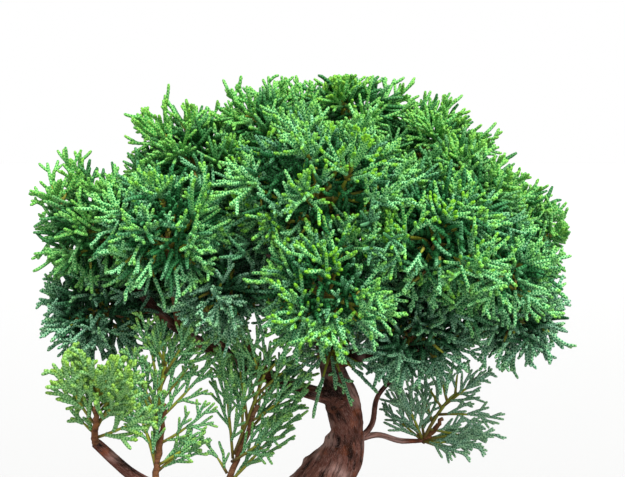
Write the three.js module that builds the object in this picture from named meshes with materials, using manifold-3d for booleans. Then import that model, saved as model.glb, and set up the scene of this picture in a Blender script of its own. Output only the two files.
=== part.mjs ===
// A small juniper bonsai in a plain rectangular pot.
// Millimetres, +Z up. The origin is on the table, under the middle of the tree and of its pot.
// -Y is the side that the tree is looked at from.

import * as THREE from 'three';
import { mergeVertices } from 'three/addons/utils/BufferGeometryUtils.js';
import Module from 'manifold-3d';

const wasm = await Module();
wasm.setup();

// ---------- driving dimensions ----------

const GAP = 0.35; // clear space between two pieces that rest in or beside each other
const HALF_SPREAD = 86; // the furthest leaf tip to the left and to the right
const HALF_DEPTH = 60; // the furthest leaf tip to the front and to the back
const TOP_HEIGHT = 211; // the highest leaf tip

const POT = {
  length: 137,
  width: 102,
  height: 45,
  corner: 9,
  wall: 5,
  floor: 6,
  rim: { height: 6.5, overhang: 2.2 },
  taper: 9, // how much narrower each side is at the underside than below the rim
  foot: { length: 26, width: 16, height: 6, corner: 3, inset: 1, batter: 1, sunk: 0.8 },
  drain: { radius: 7, offset: 27, sides: 12 },
  underside: { bevel: 1.5, height: 2 }, // where the wall turns into the underside
  lip: { slope: 1.5, bevel: 0.8 }, // below and above the rim's upright face
};

const SCREEN = { side: 22, thickness: 1.2, opening: 7, pitch: 9.5, count: 2 };

// The soil's surface rises from its edge to the middle through rings at these shares of the way.
const SOIL = { edgeDrop: 4.5, mound: 3.6, bottomGap: 0.4, rings: [0, 0.35, 0.7, 0.93] };

// A leafy cord is about 1.5 mm thick over its scale leaves.
const CORD = {
  leaderRadius: 1.15,
  tipRadius: 0.82,
  sideAngle: 0.75, // radians between a side cord and its leader
  sideLength: [1.05, 0.43], // shares of the leader's length, at its root and at its tip
  variation: [0.9, 1.15],
  shortest: 3,
};

// A spray's leader has rings at these shares of its length. Side cords grow from these sides of the
// stretch above each ring, so that no two neighbours leave the same side.
const SPRAY = {
  rings: [0, 0.25, 0.42, 0.6, 0.79, 1],
  grows: [[], [0], [1, 2], [0], [1, 2]],
};

const CELL_MARGIN = 1.25; // each clump keeps this far from the plane that divides it from the next
const STEP_BACK = 0.12; // a tip without room draws back by this share of its length, again and again
const MOST_STEPS = 12;

// The inner mass of a clump, as a share of its radius, and how uneven it is. Sprays root inside it.
const CORE = { dense: 0.25, open: 0.15, variation: [0.82, 1.18], rootDepth: 0.5 };

const FIRST_SEED = 101;
const SPRAY_SPACING = 24.4; // between neighbouring sprays on a clump's outside
const TURN_JITTER = 0.4; // radians
const GOLDEN_ANGLE = Math.PI * (3 - Math.sqrt(5));
// No spray points more than this towards the middle of the canopy, as the cosine of the angle.
const INWARD_LIMIT = { dense: -0.45, open: -0.9 };
// No spray is aimed further than this share of the clump's radius into a neighbour's space.
const MOST_OVERLAP = 0.3;

// ---------- the tree's frame: limbs and clumps ----------

// The trunk is a smooth curve through its points, with its radius at each.
const TRUNK = {
  points: [
    [-25, 1, 30],
    [-20, 0, 43],
    [-9, -1, 60],
    [4.5, -1, 76],
    [12, 0, 86],
    [14, 0.5, 94],
    [12.5, 1, 103],
    [9, 2, 115],
    [6, 4, 132],
    [8, 8, 150],
    [12, 12, 172],
    [15, 14, 188],
  ],
  radii: [15, 14, 10.4, 9, 7.6, 5.1, 5.8, 3.9, 3.5, 3, 2.4, 1.5],
};

// Each limb is a smooth curve through its points, with its radius at both ends.
const LIMBS = {
  low_left: { points: [[-9, -3, 61], [-30, -10, 70], [-52, -17, 82], [-65, -24, 96]], radii: [3.6, 1.7] },
  left: {
    points: [[12, 1, 104], [-3, -2, 109], [-22, -5, 118], [-43, -4, 130], [-56, -2, 143]],
    radii: [2.6, 1.4],
  },
  right: { points: [[9, 1, 116], [27, -2, 122], [45, 1, 124], [58, 2, 132]], radii: [2.4, 1.3] },
  low_right: { points: [[15, 2, 90], [24, 7, 91], [32, 11, 88], [40, 15, 87]], radii: [1.3, 0.8] },
  low_right_riser: {
    points: [[16, 2, 89], [22, 4, 95], [24, 6, 104], [31, 7, 112], [38, 5, 121]],
    radii: [1.2, 0.7],
  },
  front: { points: [[8, 3, 126], [7, -12, 134], [7, -27, 144]], radii: [2.8, 1.5] },
  upper_left: { points: [[7, 6, 142], [-10, 4, 152], [-26, 0, 164]], radii: [2.6, 1.4] },
  upper_right: { points: [[8, 9, 148], [24, 6, 157], [42, 0, 165]], radii: [2.6, 1.4] },
  back: { points: [[8, 6, 134], [4, 22, 140], [0, 33, 147]], radii: [2.6, 1.4] },
  apex: { points: [[12, 12, 170], [15, 14, 184]], radii: [2.3, 1.3] },
};

// A twig leaves a limb, sags by a share of its length and ends a little below its clump's middle.
const TWIG = { radii: [1.25, 0.7], sag: 0.1, endBelow: 0.15 };

// Each root runs out from the trunk's foot through these stations: the share of its reach, the height,
// and its thickness there as a share of its radius.
const TRUNK_FOOT = [-20, 0];
const ROOT_STATIONS = [
  { out: 0.1, height: 52, girth: 1.5 },
  { out: 0.45, height: 45.5, girth: 1.15 },
  { out: 0.75, height: 41.5, girth: 0.8 },
  { out: 1, height: 35, girth: 0.4 },
];

const ROOTS = [
  { heading: 8, reach: 31, radius: 4.6 },
  { heading: 70, reach: 25, radius: 3.8 },
  { heading: 128, reach: 27, radius: 4.4 },
  { heading: 196, reach: 24, radius: 4.8 },
  { heading: 251, reach: 28, radius: 4.2 },
  { heading: 314, reach: 30, radius: 3.9 },
];

const KNOTS = [
  { at: [9.4, -2.6, 90], radius: 3.6 },
  { at: [14.6, -1.8, 101], radius: 3.8 },
  { at: [-3, -6.4, 70], radius: 4.4 },
  { at: [6.4, 4, 84], radius: 4.4 },
];

// The bark's flutes and knuckles: waves round a limb and along it, as shares of its radius.
const BARK_WAVES = [
  { size: 0.1, round: 3, along: 7 },
  { size: 0.06, round: 5, along: -16 },
  { size: 0.05, round: 2, along: 41 },
];

// How finely each woody piece is divided round it and along it.
const FACETS = {
  trunk: { sides: 9, steps: 19 },
  limb: { sides: 5 },
  root: { sides: 5, steps: 4 },
  twig: { sides: 3, steps: 2 },
};

// Clumps of foliage: centre, radii, the limb that carries each, and where along it the twig leaves.
const CLUMPS = [
  { name: 'front_dome', centre: [4, -32, 176], radii: [26, 21, 19], limb: 'front', at: 1 },
  { name: 'front_apron', centre: [6, -43, 147], radii: [18, 17, 17], limb: 'front', at: 0.9 },
  { name: 'left_front', centre: [-42, -26, 163], radii: [20, 18, 17], limb: 'left', at: 0.72 },
  { name: 'left_front_low', centre: [-24, -22, 146], radii: [15, 14, 13], limb: 'left', at: 0.4 },
  { name: 'right_front', centre: [40, -32, 162], radii: [20, 18, 17], limb: 'upper_right', at: 0.7 },
  { name: 'right_front_low', centre: [59, -20, 152], radii: [18, 17, 14], limb: 'right', at: 0.85 },
  { name: 'right_shoulder', centre: [48, -13, 174], radii: [18, 17, 15], limb: 'upper_right', at: 1 },
  { name: 'right_low', centre: [34, -13, 130], radii: [17, 15, 15], limb: 'right', at: 0.4 },
  { name: 'right_edge_low', centre: [67, -10, 134], radii: [15, 15, 12], limb: 'right', at: 0.9 },
  { name: 'low_left_tip', centre: [-63, -34, 112], radii: [17, 14, 16], limb: 'low_left', at: 1 },
  { name: 'low_left_fan', centre: [-44, -20, 111], radii: [20, 14, 25], limb: 'low_left', at: 0.6 },
  { name: 'low_middle_fan', centre: [-15, -13, 109], radii: [20, 13, 24], limb: 'low_left', at: 0.33 },
  { name: 'low_right_spray', centre: [47, 17, 97], radii: [22, 14, 19], limb: 'low_right', at: 1 },
  { name: 'left_shoulder', centre: [-35, -4, 183], radii: [19, 18, 15], limb: 'upper_left', at: 1 },
  { name: 'left_side', centre: [-65, -6, 162], radii: [20, 20, 17], limb: 'left', at: 1 },
  { name: 'left_side_low', centre: [-67, 0, 135], radii: [18, 19, 14], limb: 'left', at: 0.85 },
  { name: 'top_left', centre: [-12, 4, 192], radii: [17, 16, 13], limb: 'upper_left', at: 0.6 },
  { name: 'top', centre: [14, 16, 197], radii: [18, 17, 14], limb: 'apex', at: 1 },
  { name: 'top_right', centre: [42, 16, 186], radii: [19, 18, 15], limb: 'apex', at: 0.6 },
  { name: 'right_side', centre: [68, 9, 160], radii: [18, 19, 16], limb: 'right', at: 1 },
  { name: 'right_tip', centre: [71, 18, 137], radii: [15, 15, 13], limb: 'right', at: 0.95 },
  { name: 'inner_low', centre: [12, 14, 124], radii: [16, 14, 11], limb: 'right', at: 0.12 },
  { name: 'back_top', centre: [0, 34, 184], radii: [20, 18, 15], limb: 'apex', at: 0.3 },
  { name: 'back_left_high', centre: [-37, 26, 170], radii: [20, 19, 16], limb: 'upper_left', at: 0.9 },
  { name: 'back_left_side', centre: [-62, 26, 148], radii: [18, 18, 16], limb: 'left', at: 0.8 },
  { name: 'back_middle', centre: [-8, 43, 158], radii: [20, 17, 17], limb: 'back', at: 1 },
  { name: 'back_right_high', centre: [31, 38, 172], radii: [20, 18, 16], limb: 'upper_right', at: 0.5 },
  { name: 'back_right_side', centre: [57, 34, 152], radii: [19, 18, 16], limb: 'right', at: 0.75 },
  { name: 'back_left_low', centre: [-37, 38, 133], radii: [19, 17, 14], limb: 'left', at: 0.5 },
  { name: 'back_middle_low', centre: [2, 43, 131], radii: [18, 15, 12], limb: 'back', at: 0.8 },
  { name: 'back_right_low', centre: [37, 40, 133], radii: [18, 17, 13], limb: 'right', at: 0.45 },
];

// These are airy fans, and the rest are dense.
const OPEN_CLUMPS = ['low_left_fan', 'low_middle_fan', 'low_right_spray', 'inner_low'];

// ---------- materials ----------

function finish(color, roughness) {
  return new THREE.MeshStandardMaterial({ color, roughness, metalness: 0 });
}

const MATERIALS = {
  pot: finish(0x4a3328, 0.7),
  screen: finish(0x1c1c1c, 0.6),
  soil: finish(0x5a4636, 0.95),
  bark: finish(0x4b2c26, 0.9),
  foliage: finish(0x2f7d3f, 0.65),
  foliageOpen: finish(0x4f9040, 0.65),
};

// ---------- small tools ----------

function seededRandom(seed) {
  let state = seed;
  return () => {
    state = (state + 0x6d2b79f5) | 0;
    let mixed = Math.imul(state ^ (state >>> 15), 1 | state);
    mixed = (mixed + Math.imul(mixed ^ (mixed >>> 7), 61 | mixed)) ^ mixed;
    return ((mixed ^ (mixed >>> 14)) >>> 0) / 4294967296;
  };
}

function vector([x, y, z]) {
  return new THREE.Vector3(x, y, z);
}

function between([low, high], share) {
  return THREE.MathUtils.lerp(low, high, share);
}

// A closed solid of any three.js geometry, ready to be joined or cut.
function solidOf(geometry) {
  const bare = geometry.clone();
  bare.deleteAttribute('normal');
  bare.deleteAttribute('uv');
  const merged = mergeVertices(bare, 1e-4);
  const mesh = new wasm.Mesh({
    numProp: 3,
    vertProperties: new Float32Array(merged.attributes.position.array),
    triVerts: new Uint32Array(merged.index.array),
  });
  return new wasm.Manifold(mesh);
}

function geometryOf(solid) {
  const mesh = solid.getMesh();
  const geometry = new THREE.BufferGeometry();
  geometry.setAttribute('position', new THREE.BufferAttribute(mesh.vertProperties, 3));
  geometry.setIndex(new THREE.BufferAttribute(mesh.triVerts, 1));
  return geometry;
}

function joined(solids) {
  return solids.reduce((whole, piece) => whole.add(piece));
}

function largestBody(solid) {
  const bodies = solid.decompose();
  return bodies.reduce((best, body) => (body.volume() > best.volume() ? body : best));
}

// A closed geometry through rings of points that all have the same count and run the same way.
function throughRings(rings) {
  const count = rings[0].length;
  const positions = rings.flat().flatMap((point) => point.toArray());
  const index = [];
  for (let ring = 0; ring < rings.length - 1; ring += 1) {
    for (let side = 0; side < count; side += 1) {
      const a = ring * count + side;
      const b = ring * count + ((side + 1) % count);
      index.push(a, b, b + count, a, b + count, a + count);
    }
  }
  const top = (rings.length - 1) * count;
  for (let side = 1; side < count - 1; side += 1) {
    index.push(0, side + 1, side);
    index.push(top, top + side, top + side + 1);
  }
  const geometry = new THREE.BufferGeometry();
  geometry.setAttribute('position', new THREE.Float32BufferAttribute(positions, 3));
  geometry.setIndex(index);
  return geometry;
}

// ---------- woody pieces ----------

function bumpyBark(angle, along) {
  return BARK_WAVES.reduce(
    (reach, wave) => reach + wave.size * Math.sin(wave.round * angle + wave.along * along),
    1,
  );
}

// A round limb along a curve. radiusAt and shape take the share of the way along.
function limbGeometry(curve, radiusAt, sides, steps, shape = () => 1) {
  const frames = curve.computeFrenetFrames(steps, false);
  const rings = [];
  for (let step = 0; step <= steps; step += 1) {
    const along = step / steps;
    const centre = curve.getPointAt(along);
    const ring = [];
    for (let side = 0; side < sides; side += 1) {
      const angle = (side / sides) * 2 * Math.PI;
      const reach = radiusAt(along) * shape(angle, along);
      const point = centre.clone();
      point.addScaledVector(frames.normals[step], Math.cos(angle) * reach);
      point.addScaledVector(frames.binormals[step], Math.sin(angle) * reach);
      ring.push(point);
    }
    rings.push(ring);
  }
  return throughRings(rings);
}

function interpolated(values, along) {
  const place = along * (values.length - 1);
  const low = Math.min(Math.floor(place), values.length - 2);
  return THREE.MathUtils.lerp(values[low], values[low + 1], place - low);
}

const trunkCurve = new THREE.CatmullRomCurve3(TRUNK.points.map(vector), false, 'centripetal');
const limbCurves = {};
for (const [name, limb] of Object.entries(LIMBS)) {
  limbCurves[name] = new THREE.CatmullRomCurve3(limb.points.map(vector), false, 'centripetal');
}

// The trunk's radii are given at its points, which aren't evenly spaced along it.
function trunkRadius(along) {
  const lengths = [0];
  for (let i = 1; i < TRUNK.points.length; i += 1) {
    const step = vector(TRUNK.points[i]).distanceTo(vector(TRUNK.points[i - 1]));
    lengths.push(lengths[i - 1] + step);
  }
  const target = along * lengths[lengths.length - 1];
  let i = 1;
  while (i < lengths.length - 1 && lengths[i] < target) {
    i += 1;
  }
  const share = (target - lengths[i - 1]) / (lengths[i] - lengths[i - 1]);
  return THREE.MathUtils.lerp(TRUNK.radii[i - 1], TRUNK.radii[i], share);
}

function rootCurve({ heading, reach }) {
  const angle = THREE.MathUtils.degToRad(heading);
  const [x, y] = TRUNK_FOOT;
  const points = ROOT_STATIONS.map(({ out, height }) => {
    const away = out * reach;
    return new THREE.Vector3(x + Math.cos(angle) * away, y + Math.sin(angle) * away, height);
  });
  return new THREE.CatmullRomCurve3(points);
}

// The thin twig that leaves a limb and ends inside its clump.
function twigCurve(clump) {
  const start = limbCurves[clump.limb].getPoint(clump.at);
  const end = vector(clump.centre);
  end.z -= clump.radii[2] * TWIG.endBelow;
  const middle = start.clone().lerp(end, 0.5);
  middle.z -= start.distanceTo(end) * TWIG.sag;
  return new THREE.QuadraticBezierCurve3(start, middle, end);
}

// Trunk, limbs, twigs and roots as one solid, each thicker by extra.
function woodySolid(extra) {
  const { trunk, limb: limbFacets, root: rootFacets, twig } = FACETS;
  const thickTrunk = (along) => trunkRadius(along) + extra;
  const pieces = [limbGeometry(trunkCurve, thickTrunk, trunk.sides, trunk.steps, bumpyBark)];
  for (const [name, limb] of Object.entries(LIMBS)) {
    const radiusAt = (along) => between(limb.radii, along) + extra;
    const steps = 2 * limb.points.length - 2;
    pieces.push(limbGeometry(limbCurves[name], radiusAt, limbFacets.sides, steps, bumpyBark));
  }
  for (const clump of CLUMPS) {
    const radiusAt = (along) => between(TWIG.radii, along) + extra;
    pieces.push(limbGeometry(twigCurve(clump), radiusAt, twig.sides, twig.steps));
  }
  const girths = ROOT_STATIONS.map((station) => station.girth);
  for (const root of ROOTS) {
    const radiusAt = (along) => interpolated(girths, along) * root.radius + extra;
    pieces.push(limbGeometry(rootCurve(root), radiusAt, rootFacets.sides, rootFacets.steps, bumpyBark));
  }
  for (const knot of KNOTS) {
    const geometry = new THREE.IcosahedronGeometry(knot.radius + extra, 0);
    pieces.push(geometry.translate(...knot.at));
  }
  return joined(pieces.map(solidOf));
}

// ---------- pot, screens and soil ----------

// A rounded rectangle as a ring of points at one height.
function roundedRing(halfLength, halfWidth, corner, height, divisions = 2) {
  const radius = Math.min(corner, halfLength, halfWidth);
  const shape = new THREE.Shape();
  const x = halfLength - radius;
  const y = halfWidth - radius;
  shape.absarc(x, y, radius, 0, Math.PI / 2);
  shape.absarc(-x, y, radius, Math.PI / 2, Math.PI);
  shape.absarc(-x, -y, radius, Math.PI, 1.5 * Math.PI);
  shape.absarc(x, -y, radius, 1.5 * Math.PI, 2 * Math.PI);
  const flat = shape.getPoints(divisions);
  const outline = flat.filter((point, i) => i === 0 || point.distanceTo(flat[i - 1]) > 1e-3);
  if (outline[0].distanceTo(outline[outline.length - 1]) < 1e-3) {
    outline.pop();
  }
  return outline.map((point) => new THREE.Vector3(point.x, point.y, height));
}

const potFloorTop = POT.foot.height + POT.floor;
const potHalf = { length: POT.length / 2, width: POT.width / 2 };
const potRimBottom = POT.height - POT.rim.height;

// Half sizes of the pot's outside wall, below its rim, at a height.
function potWall(height) {
  const share = (potRimBottom - height) / (potRimBottom - POT.foot.height);
  const inset = POT.rim.overhang + POT.taper * Math.max(share, 0);
  return { length: potHalf.length - inset, width: potHalf.width - inset };
}

function potRing(height, inwards) {
  const wall = potWall(height);
  return roundedRing(wall.length - inwards, wall.width - inwards, POT.corner - inwards / 2, height);
}

function potSolid() {
  const { drain, lip } = POT;
  const outside = throughRings([
    potRing(POT.foot.height, POT.underside.bevel),
    potRing(POT.foot.height + POT.underside.height, 0),
    potRing(potRimBottom, 0),
    roundedRing(potHalf.length, potHalf.width, POT.corner, potRimBottom + lip.slope),
    roundedRing(potHalf.length, potHalf.width, POT.corner, POT.height - lip.bevel),
    roundedRing(potHalf.length - lip.bevel, potHalf.width - lip.bevel, POT.corner, POT.height),
  ]);
  const inside = throughRings([
    potRing(potFloorTop, POT.wall),
    potRing(potRimBottom, POT.wall),
    potRing(POT.height + 1, POT.wall),
  ]);
  let solid = solidOf(outside).subtract(solidOf(inside));
  for (const side of [-1, 1]) {
    const hole = new THREE.CylinderGeometry(drain.radius, drain.radius, 3 * POT.floor, drain.sides);
    hole.rotateX(Math.PI / 2);
    hole.translate(side * drain.offset, 0, potFloorTop);
    solid = solid.subtract(solidOf(hole));
  }
  for (const foot of potFeet()) {
    solid = solid.add(solidOf(foot));
  }
  return solid;
}

function footCentre() {
  const underside = potWall(POT.foot.height);
  return {
    x: underside.length - POT.foot.inset - POT.foot.length / 2,
    y: underside.width - POT.foot.inset - POT.foot.width / 2,
  };
}

function potFeet() {
  const feet = [];
  const centre = footCentre();
  const { length, width, height, corner, batter, sunk } = POT.foot;
  for (const x of [-centre.x, centre.x]) {
    for (const y of [-centre.y, centre.y]) {
      const rings = [
        roundedRing(length / 2 - batter, width / 2 - batter, corner, 0, 1),
        roundedRing(length / 2, width / 2, corner, height + sunk, 1),
      ];
      feet.push(throughRings(rings).translate(x, y, 0));
    }
  }
  return feet;
}

function screenSolid() {
  const { side, thickness, opening, pitch, count } = SCREEN;
  let solid = solidOf(new THREE.BoxGeometry(side, side, thickness));
  for (let row = 0; row < count; row += 1) {
    for (let column = 0; column < count; column += 1) {
      const hole = new THREE.BoxGeometry(opening, opening, 3 * thickness);
      hole.translate((column - (count - 1) / 2) * pitch, (row - (count - 1) / 2) * pitch, 0);
      solid = solid.subtract(solidOf(hole));
    }
  }
  return solid;
}

const soilBottom = potFloorTop + GAP + SCREEN.thickness + SOIL.bottomGap;
const soilEdge = POT.height - SOIL.edgeDrop;

function soilSolid(woodyHole) {
  const edge = potWall(soilEdge);
  const inwards = POT.wall + GAP;
  const rings = [potRing(soilBottom, inwards), potRing(potRimBottom, inwards)];
  for (const share of SOIL.rings) {
    const height = soilEdge + SOIL.mound * Math.sin((share * Math.PI) / 2);
    const length = (edge.length - inwards) * (1 - share);
    const width = (edge.width - inwards) * (1 - share);
    rings.push(roundedRing(length, width, (POT.corner - inwards / 2) * (1 - share), height));
  }
  return largestBody(solidOf(throughRings(rings)).subtract(woodyHole));
}

// ---------- foliage ----------

const clumps = CLUMPS.map((clump) => {
  const mean = (clump.radii[0] + clump.radii[1] + clump.radii[2]) / 3;
  const style = OPEN_CLUMPS.includes(clump.name) ? 'open' : 'dense';
  return { ...clump, middle: vector(clump.centre), scale: vector(clump.radii), mean, style };
});

const canopyMiddle = new THREE.Vector3(0, 0, 150);

// The room to the nearest plane that divides one clump from another; negative outside its own share.
function roomInside(clump, point) {
  let room = Infinity;
  for (const other of clumps) {
    if (other !== clump) {
      const far = point.distanceToSquared(other.middle) - other.mean ** 2;
      const near = point.distanceToSquared(clump.middle) - clump.mean ** 2;
      room = Math.min(room, (far - near) / (2 * clump.middle.distanceTo(other.middle)));
    }
  }
  return room;
}

function insideBounds(point) {
  const sideways = Math.abs(point.x) < HALF_SPREAD;
  const deep = Math.abs(point.y) < HALF_DEPTH;
  return sideways && deep && point.z < TOP_HEIGHT;
}

function placeFor(clump, point) {
  return insideBounds(point) && roomInside(clump, point) > CELL_MARGIN;
}

// The furthest point on the way from start to end where there is still room for a cord.
function reachable(clump, start, end) {
  const tip = end.clone();
  for (let tries = 0; tries < MOST_STEPS && !placeFor(clump, tip); tries += 1) {
    tip.lerp(start, STEP_BACK);
  }
  return tip;
}

// A cord's blunt end: three points round its centre, the first on the same side as towards.
function cordEnd(centre, direction, towards, radius) {
  const arm = towards.clone().sub(centre);
  arm.addScaledVector(direction, -arm.dot(direction)).setLength(radius);
  const turns = [0, 1, 2].map((third) => (third * 2 * Math.PI) / 3);
  return turns.map((turn) => arm.clone().applyAxisAngle(direction, turn).add(centre));
}

// The end of a side cord that leaves one face of a leader, or null where there is no room for it.
function sideCordEnd(clump, corners, share, leader, length, random) {
  const middle = new THREE.Triangle(...corners).getMidpoint(new THREE.Vector3());
  const outwards = new THREE.Triangle(...corners).getNormal(new THREE.Vector3());
  const direction = outwards.multiplyScalar(Math.sin(CORD.sideAngle));
  direction.addScaledVector(leader, Math.cos(CORD.sideAngle)).normalize();
  const reach = length * between(CORD.sideLength, share) * between(CORD.variation, random());
  const end = reachable(clump, middle, middle.clone().addScaledVector(direction, reach));
  if (middle.distanceTo(end) < CORD.shortest) {
    return null;
  }
  return cordEnd(end, direction, corners[0], CORD.tipRadius);
}

// One spray as a closed geometry: a three-sided leader from root to tip, and side cords that are
// drawn out of triangles of its faces.
function sprayGeometry(clump, root, tip, random) {
  const leaderTip = reachable(clump, root, tip);
  const length = root.distanceTo(leaderTip);
  const leader = leaderTip.clone().sub(root).normalize();
  const aside = new THREE.Vector3(random() - 0.5, random() - 0.5, random() - 0.5);
  const points = [];
  for (const share of SPRAY.rings) {
    const centre = root.clone().addScaledVector(leader, share * length);
    const radius = THREE.MathUtils.lerp(CORD.leaderRadius, CORD.tipRadius, share);
    points.push(...cordEnd(centre, leader, centre.clone().add(aside), radius));
  }
  const faces = [[0, 2, 1]];
  for (let ring = 0; ring < SPRAY.rings.length - 1; ring += 1) {
    for (let side = 0; side < 3; side += 1) {
      const a = 3 * ring + side;
      const b = 3 * ring + ((side + 1) % 3);
      const outer = [a, b + 3, a + 3];
      faces.push([a, b, b + 3]);
      let end = null;
      if (SPRAY.grows[ring].includes(side)) {
        const corners = outer.map((corner) => points[corner]);
        end = sideCordEnd(clump, corners, SPRAY.rings[ring + 1], leader, length, random);
      }
      if (end) {
        faces.push(...drawnOut(outer, points.length));
        points.push(...end);
      } else {
        faces.push(outer);
      }
    }
  }
  const last = 3 * (SPRAY.rings.length - 1);
  faces.push([last, last + 1, last + 2]);
  const geometry = new THREE.BufferGeometry();
  const positions = points.flatMap((point) => point.toArray());
  geometry.setAttribute('position', new THREE.Float32BufferAttribute(positions, 3));
  geometry.setIndex(faces.flat());
  return geometry;
}

// The faces that join a triangle to the three points, from end on, that it is drawn out to.
function drawnOut(triangle, end) {
  const faces = [[end, end + 1, end + 2]];
  for (let edge = 0; edge < 3; edge += 1) {
    const next = (edge + 1) % 3;
    faces.push([triangle[edge], triangle[next], end + next]);
    faces.push([triangle[edge], end + next, end + edge]);
  }
  return faces;
}

// Evenly spread directions over the clump's outside, turned a little at random.
function sprayDirections(clump, random) {
  const area = 4 * Math.PI * clump.mean ** 2;
  const count = Math.round(area / SPRAY_SPACING ** 2);
  const directions = [];
  for (let i = 0; i < count; i += 1) {
    const height = 1 - (2 * (i + 0.5)) / count;
    const around = i * GOLDEN_ANGLE + random() * TURN_JITTER;
    const level = Math.sqrt(1 - height * height);
    directions.push(new THREE.Vector3(level * Math.cos(around), level * Math.sin(around), height));
  }
  return directions;
}

// The inner mass that a dense clump's sprays stand out of, or the slim knuckle of an open one.
function coreGeometry(clump, random) {
  const core = new THREE.IcosahedronGeometry(1, 0);
  const merged = mergeVertices(core.deleteAttribute('normal').deleteAttribute('uv'), 1e-4);
  const position = merged.attributes.position;
  for (let i = 0; i < position.count; i += 1) {
    const wanted = new THREE.Vector3().fromBufferAttribute(position, i);
    const share = CORE[clump.style] * between(CORE.variation, random());
    wanted.multiply(clump.scale).multiplyScalar(share).add(clump.middle);
    const end = reachable(clump, clump.middle, wanted);
    position.setXYZ(i, end.x, end.y, end.z);
  }
  return merged;
}

function clumpSolid(clump, woodyHole, seed) {
  const random = seededRandom(seed);
  const pieces = [coreGeometry(clump, random)];
  const fromCanopy = clump.middle.clone().sub(canopyMiddle).normalize();
  for (const direction of sprayDirections(clump, random)) {
    const outer = direction.clone().multiply(clump.scale).add(clump.middle);
    const facesOut = direction.dot(fromCanopy) > INWARD_LIMIT[clump.style];
    if (facesOut && roomInside(clump, outer) > -MOST_OVERLAP * clump.mean) {
      const root = clump.middle.clone().lerp(outer, CORE[clump.style] * CORE.rootDepth);
      pieces.push(sprayGeometry(clump, root, outer, random));
    }
  }
  return largestBody(joined(pieces.map(solidOf)).subtract(woodyHole));
}

// ---------- the whole ----------

const bonsai = new THREE.Group();

function addNode(name, geometry, material, position = new THREE.Vector3()) {
  geometry.translate(-position.x, -position.y, -position.z);
  const mesh = new THREE.Mesh(geometry, material);
  mesh.name = name;
  mesh.position.copy(position);
  bonsai.add(mesh);
}

const woodyHole = woodySolid(GAP);

addNode('pot', geometryOf(potSolid()), MATERIALS.pot);
for (const [side, sign] of [['left', -1], ['right', 1]]) {
  const screen = geometryOf(screenSolid());
  const place = [sign * POT.drain.offset, 0, potFloorTop + GAP + SCREEN.thickness / 2];
  screen.translate(...place);
  addNode(`drain_screen_${side}`, screen, MATERIALS.screen, vector(place));
}
addNode('soil', geometryOf(soilSolid(woodyHole)), MATERIALS.soil);
addNode('trunk_and_branches', geometryOf(woodySolid(0)), MATERIALS.bark);
clumps.forEach((clump, i) => {
  const material = clump.style === 'open' ? MATERIALS.foliageOpen : MATERIALS.foliage;
  const geometry = geometryOf(clumpSolid(clump, woodyHole, FIRST_SEED + i));
  addNode(`foliage_${clump.name}`, geometry, material, clump.middle);
});

export default bonsai;
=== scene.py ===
import math

import bmesh
import bpy
import numpy as np
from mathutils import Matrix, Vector
from mathutils.kdtree import KDTree


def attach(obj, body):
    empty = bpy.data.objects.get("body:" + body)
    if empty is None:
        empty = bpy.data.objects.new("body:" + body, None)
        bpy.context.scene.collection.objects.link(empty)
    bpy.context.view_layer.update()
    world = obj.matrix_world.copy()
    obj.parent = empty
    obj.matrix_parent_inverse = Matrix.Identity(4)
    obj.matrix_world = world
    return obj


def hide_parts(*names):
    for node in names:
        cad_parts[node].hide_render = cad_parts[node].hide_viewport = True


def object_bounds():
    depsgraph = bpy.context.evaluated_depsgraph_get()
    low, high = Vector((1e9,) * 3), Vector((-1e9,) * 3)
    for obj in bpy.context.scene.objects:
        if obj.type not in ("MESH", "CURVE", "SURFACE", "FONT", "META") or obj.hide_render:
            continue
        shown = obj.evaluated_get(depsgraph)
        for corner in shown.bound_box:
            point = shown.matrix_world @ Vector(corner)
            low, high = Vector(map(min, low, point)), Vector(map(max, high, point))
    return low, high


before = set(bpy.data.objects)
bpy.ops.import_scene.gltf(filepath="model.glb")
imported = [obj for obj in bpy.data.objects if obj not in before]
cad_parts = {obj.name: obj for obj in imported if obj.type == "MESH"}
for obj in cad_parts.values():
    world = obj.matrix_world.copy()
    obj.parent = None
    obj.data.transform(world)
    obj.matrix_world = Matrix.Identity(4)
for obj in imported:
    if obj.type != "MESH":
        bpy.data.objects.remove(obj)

cad_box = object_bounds()
MM = 0.001
TURN = 2 * math.pi
NOISE_FACTORS = (374761393, 668265263, 2147483647)

# ---------- driving values, in millimetres, the same as the solids have ----------

TRUNK_POINTS = [
    (-25, 1, 30), (-20, 0, 43), (-9, -1, 60), (4.5, -1, 76), (12, 0, 86), (14, 0.5, 94),
    (12.5, 1, 103), (9, 2, 115), (6, 4, 132), (8, 8, 150), (12, 12, 172), (15, 14, 188),
]
TRUNK_RADII = [15, 14, 10.4, 9, 7.6, 5.1, 5.8, 3.9, 3.5, 3, 2.4, 1.5]

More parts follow.
